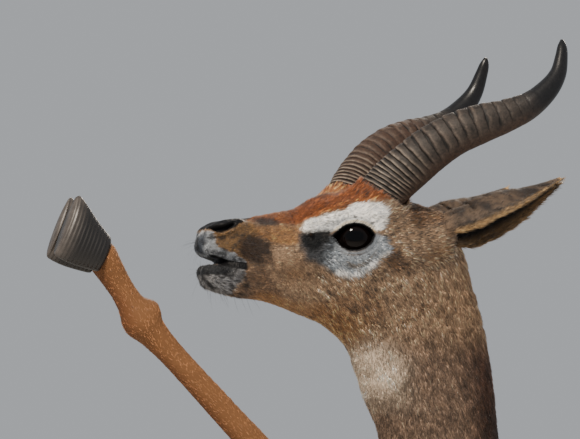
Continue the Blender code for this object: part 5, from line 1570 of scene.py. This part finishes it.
def hoofMaterial():
    # hard black keratin with growth rings, scuffed grey low down
    made = blankMaterial("hoof keratin")
    tree = made.node_tree
    growth = addNode(tree, "ShaderNodeAttribute", {"attribute_name": "growth"})
    place = addNode(tree, "ShaderNodeTexCoord")
    wear = addNode(tree, "ShaderNodeTexNoise", Vector=place.outputs["Object"], Scale=140.0, Detail=5.0)
    # a ring each 3.5 mm
    rings = addNode(tree, "ShaderNodeMath", {"operation": "MULTIPLY_ADD"},
                    nr_0=growth.outputs["Fac"], nr_1=1.8, nr_2=wear.outputs[0])
    wave = addNode(tree, "ShaderNodeMath", {"operation": "SINE"}, nr_0=rings.outputs[0])
    bump = addNode(tree, "ShaderNodeBump", Strength=0.4, Distance=0.0006, Height=wave.outputs[0])
    low = addNode(tree, "ShaderNodeMapRange", Value=growth.outputs["Fac"], From_Min=14.0, From_Max=0.0)
    worn = addNode(tree, "ShaderNodeMath", {"operation": "MULTIPLY"},
                   nr_0=low.outputs[0], nr_1=wear.outputs[0])
    colour = addNode(tree, "ShaderNodeMix", {"data_type": "RGBA"}, Factor=worn.outputs[0])
    colour.inputs[6].default_value = (*linear(hoofSetup["colour"]), 1)
    colour.inputs[7].default_value = (*linear(hoofSetup["scuffed"]), 1)
    shader = addNode(tree, "ShaderNodeBsdfPrincipled", Base_Color=colour.outputs[2], Roughness=0.42, IOR=1.54,
                     Normal=bump.outputs[0])
    finishMaterial(tree, shader)


# Base
baseSetup = {
    "light": "#7a573b", "dark": "#4a3222",
    "board": 0.088,           # width of one board, in metres
}


def woodMaterial():
    # oiled walnut boards: fine dark pores along the grain, satin finish
    s = baseSetup
    made = blankMaterial("oiled walnut")
    tree = made.node_tree
    place = addNode(tree, "ShaderNodeTexCoord")
    shift = addNode(tree, "ShaderNodeSeparateXYZ", Vector=place.outputs["Object"])
    board = addNode(tree, "ShaderNodeMath", {"operation": "DIVIDE"}, nr_0=shift.outputs["Y"], nr_1=s["board"])
    number = addNode(tree, "ShaderNodeMath", {"operation": "FLOOR"}, nr_0=board.outputs[0])
    each = addNode(tree, "ShaderNodeTexWhiteNoise", {"noise_dimensions": "1D"}, W=number.outputs[0])
    moved = addNode(tree, "ShaderNodeVectorMath", {"operation": "MULTIPLY_ADD"})
    tree.links.new(each.outputs["Color"], moved.inputs[0])
    moved.inputs[1].default_value = (3, 3, 3)
    tree.links.new(place.outputs["Object"], moved.inputs[2])
    stretch = addNode(tree, "ShaderNodeMapping", Vector=moved.outputs[0], Scale=(1.4, 22.0, 22.0))
    figure = addNode(tree, "ShaderNodeTexNoise", Vector=stretch.outputs[0], Scale=3.0, Detail=6.0,
                     Roughness=0.6, Distortion=1.2)
    pores = addNode(tree, "ShaderNodeMapping", Vector=moved.outputs[0], Scale=(30.0, 900.0, 900.0))
    fine = addNode(tree, "ShaderNodeTexNoise", Vector=pores.outputs[0], Scale=1.0, Detail=2.0)
    tones = addNode(tree, "ShaderNodeValToRGB", Fac=figure.outputs[0])
    tones.color_ramp.elements[0].position = 0.34
    tones.color_ramp.elements[0].color = (*linear(s["dark"]), 1)
    tones.color_ramp.elements[1].position = 0.66
    tones.color_ramp.elements[1].color = (*linear(s["light"]), 1)
    depth = addNode(tree, "ShaderNodeMapRange", Value=fine.outputs[0], From_Min=0.42, From_Max=0.56,
                    To_Min=0.72, To_Max=1.0)
    brighter = addNode(tree, "ShaderNodeMapRange", Value=each.outputs["Value"], To_Min=0.85, To_Max=1.12)
    both = addNode(tree, "ShaderNodeMath", {"operation": "MULTIPLY"}, nr_0=depth.outputs[0],
                   nr_1=brighter.outputs[0])
    part = addNode(tree, "ShaderNodeMath", {"operation": "FRACT"}, nr_0=board.outputs[0])
    seam = addNode(tree, "ShaderNodeMath", {"operation": "PINGPONG"}, nr_0=part.outputs[0], nr_1=0.5)
    line = addNode(tree, "ShaderNodeMapRange", Value=seam.outputs[0], From_Min=0.0, From_Max=0.008,
                   To_Min=0.35, To_Max=1.0)
    shade = addNode(tree, "ShaderNodeMath", {"operation": "MULTIPLY"},
                    nr_0=both.outputs[0], nr_1=line.outputs[0])
    tone = addNode(tree, "ShaderNodeVectorMath", {"operation": "SCALE"})
    tree.links.new(tones.outputs["Color"], tone.inputs[0])
    tree.links.new(shade.outputs[0], tone.inputs["Scale"])
    bump = addNode(tree, "ShaderNodeBump", Strength=0.25, Distance=0.0004, Height=shade.outputs[0])
    shader = addNode(tree, "ShaderNodeBsdfPrincipled", Base_Color=tone.outputs[0], Roughness=0.42, IOR=1.5,
                     Normal=bump.outputs[0])
    finishMaterial(tree, shader)
    return made


def floorMaterial():
    # matt painted studio floor with a trace of mottling
    made = blankMaterial("matt studio floor")
    tree = made.node_tree
    place = addNode(tree, "ShaderNodeTexCoord")
    cloudy = addNode(tree, "ShaderNodeTexNoise", Vector=place.outputs["Object"], Scale=3.0, Detail=4.0)
    colour = addNode(tree, "ShaderNodeMix", {"data_type": "RGBA"}, Factor=cloudy.outputs[0])
    base = linear(lightSetup["floor"][0])
    colour.inputs[6].default_value = (*(base * 0.97), 1)
    colour.inputs[7].default_value = (*(base * 1.03), 1)
    shader = addNode(tree, "ShaderNodeBsdfPrincipled", Base_Color=colour.outputs[2], Roughness=0.85)
    finishMaterial(tree, shader)
    return made


placeCamera()
placeLights()
print("camera and lights placed")

skin = makeSkin()
skinNormals = vertexNormals(skin.data)
skinPlaces = vertexPlaces(skin.data)
skinColours, skinBare = coatColour(skinPlaces, skinNormals)
# the skin between the tufts is darkened with painted shade, except where it is bare or under paler hair
light = ramp(skinColours.mean(axis=1), 0.35, 0.7)
under = coatLook["under"] + (1 - coatLook["under"]) * np.maximum(skinBare, light)
paint(skin.data, skinColours * under[:, None])
layer = skin.data.attributes.new("bare", "FLOAT", "POINT")
layer.data.foreach_set("value", skinBare.astype(np.float32))
skin.data.materials.append(skinMaterial())
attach(skin, "root")
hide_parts("head", "neck", "torso", "tail", "foreleg_upper_left", "foreleg_lower_left",
            "foreleg_upper_right", "foreleg_lower_right", "hindleg_upper_left", "hindleg_lower_left",
            "hindleg_upper_right", "hindleg_lower_right")
print("skin made", len(skin.data.polygons))

hairMaterial("short antelope hair")
for piece, slot in makeCoat(skin) + makeLongHair(skin):
    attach(piece, "root")
    print(piece.name, len(piece.data.polygons))

eyeMaterial()
hornMaterial()
earMaterial()
hoofMaterial()
for side, label in ((-1, "left"), (1, "right")):
    earMade = makeEar("ear_" + label + "_cup", side)
    for piece, node, slot in (
            (makeEye("eye_" + label + "_wet", side), "eye_" + label, "eye"),
            (makeHorn("horn_" + label + "_ringed", side), "horn_" + label, "horn"),
            (earMade[0], "ear_" + label, "ear_skin")):
        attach(piece, "root")
        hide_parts(node)
    hair = makeEarHair(*earMade[:1], side, *earMade[1:])
    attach(hair, "root")
    for foot, coronet, fetlock in (
            ("fore", (leftFore if side < 0 else rightFore)["coronet"],
             (leftFore if side < 0 else rightFore)["fetlock"]),
            ("hind", hindPoint("coronet", side), hindPoint("fetlock", side))):
        turn = Matrix.Identity(4) if foot == "hind" else footTurn(coronet, fetlock)
        for claw, clawLabel in ((-1, "left"), (1, "right")):
            node = "hoof_" + foot + "_" + label + "_" + clawLabel
            piece = makeClaw(node + "_horn", Vector(coronet), turn, claw)
            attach(piece, "root")
            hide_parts(node)
print("eyes, horns, ears and hooves made")

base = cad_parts["stand_base"]
wood = woodMaterial()
for slot in base.material_slots:
    slot.material = wood
print("base finished")
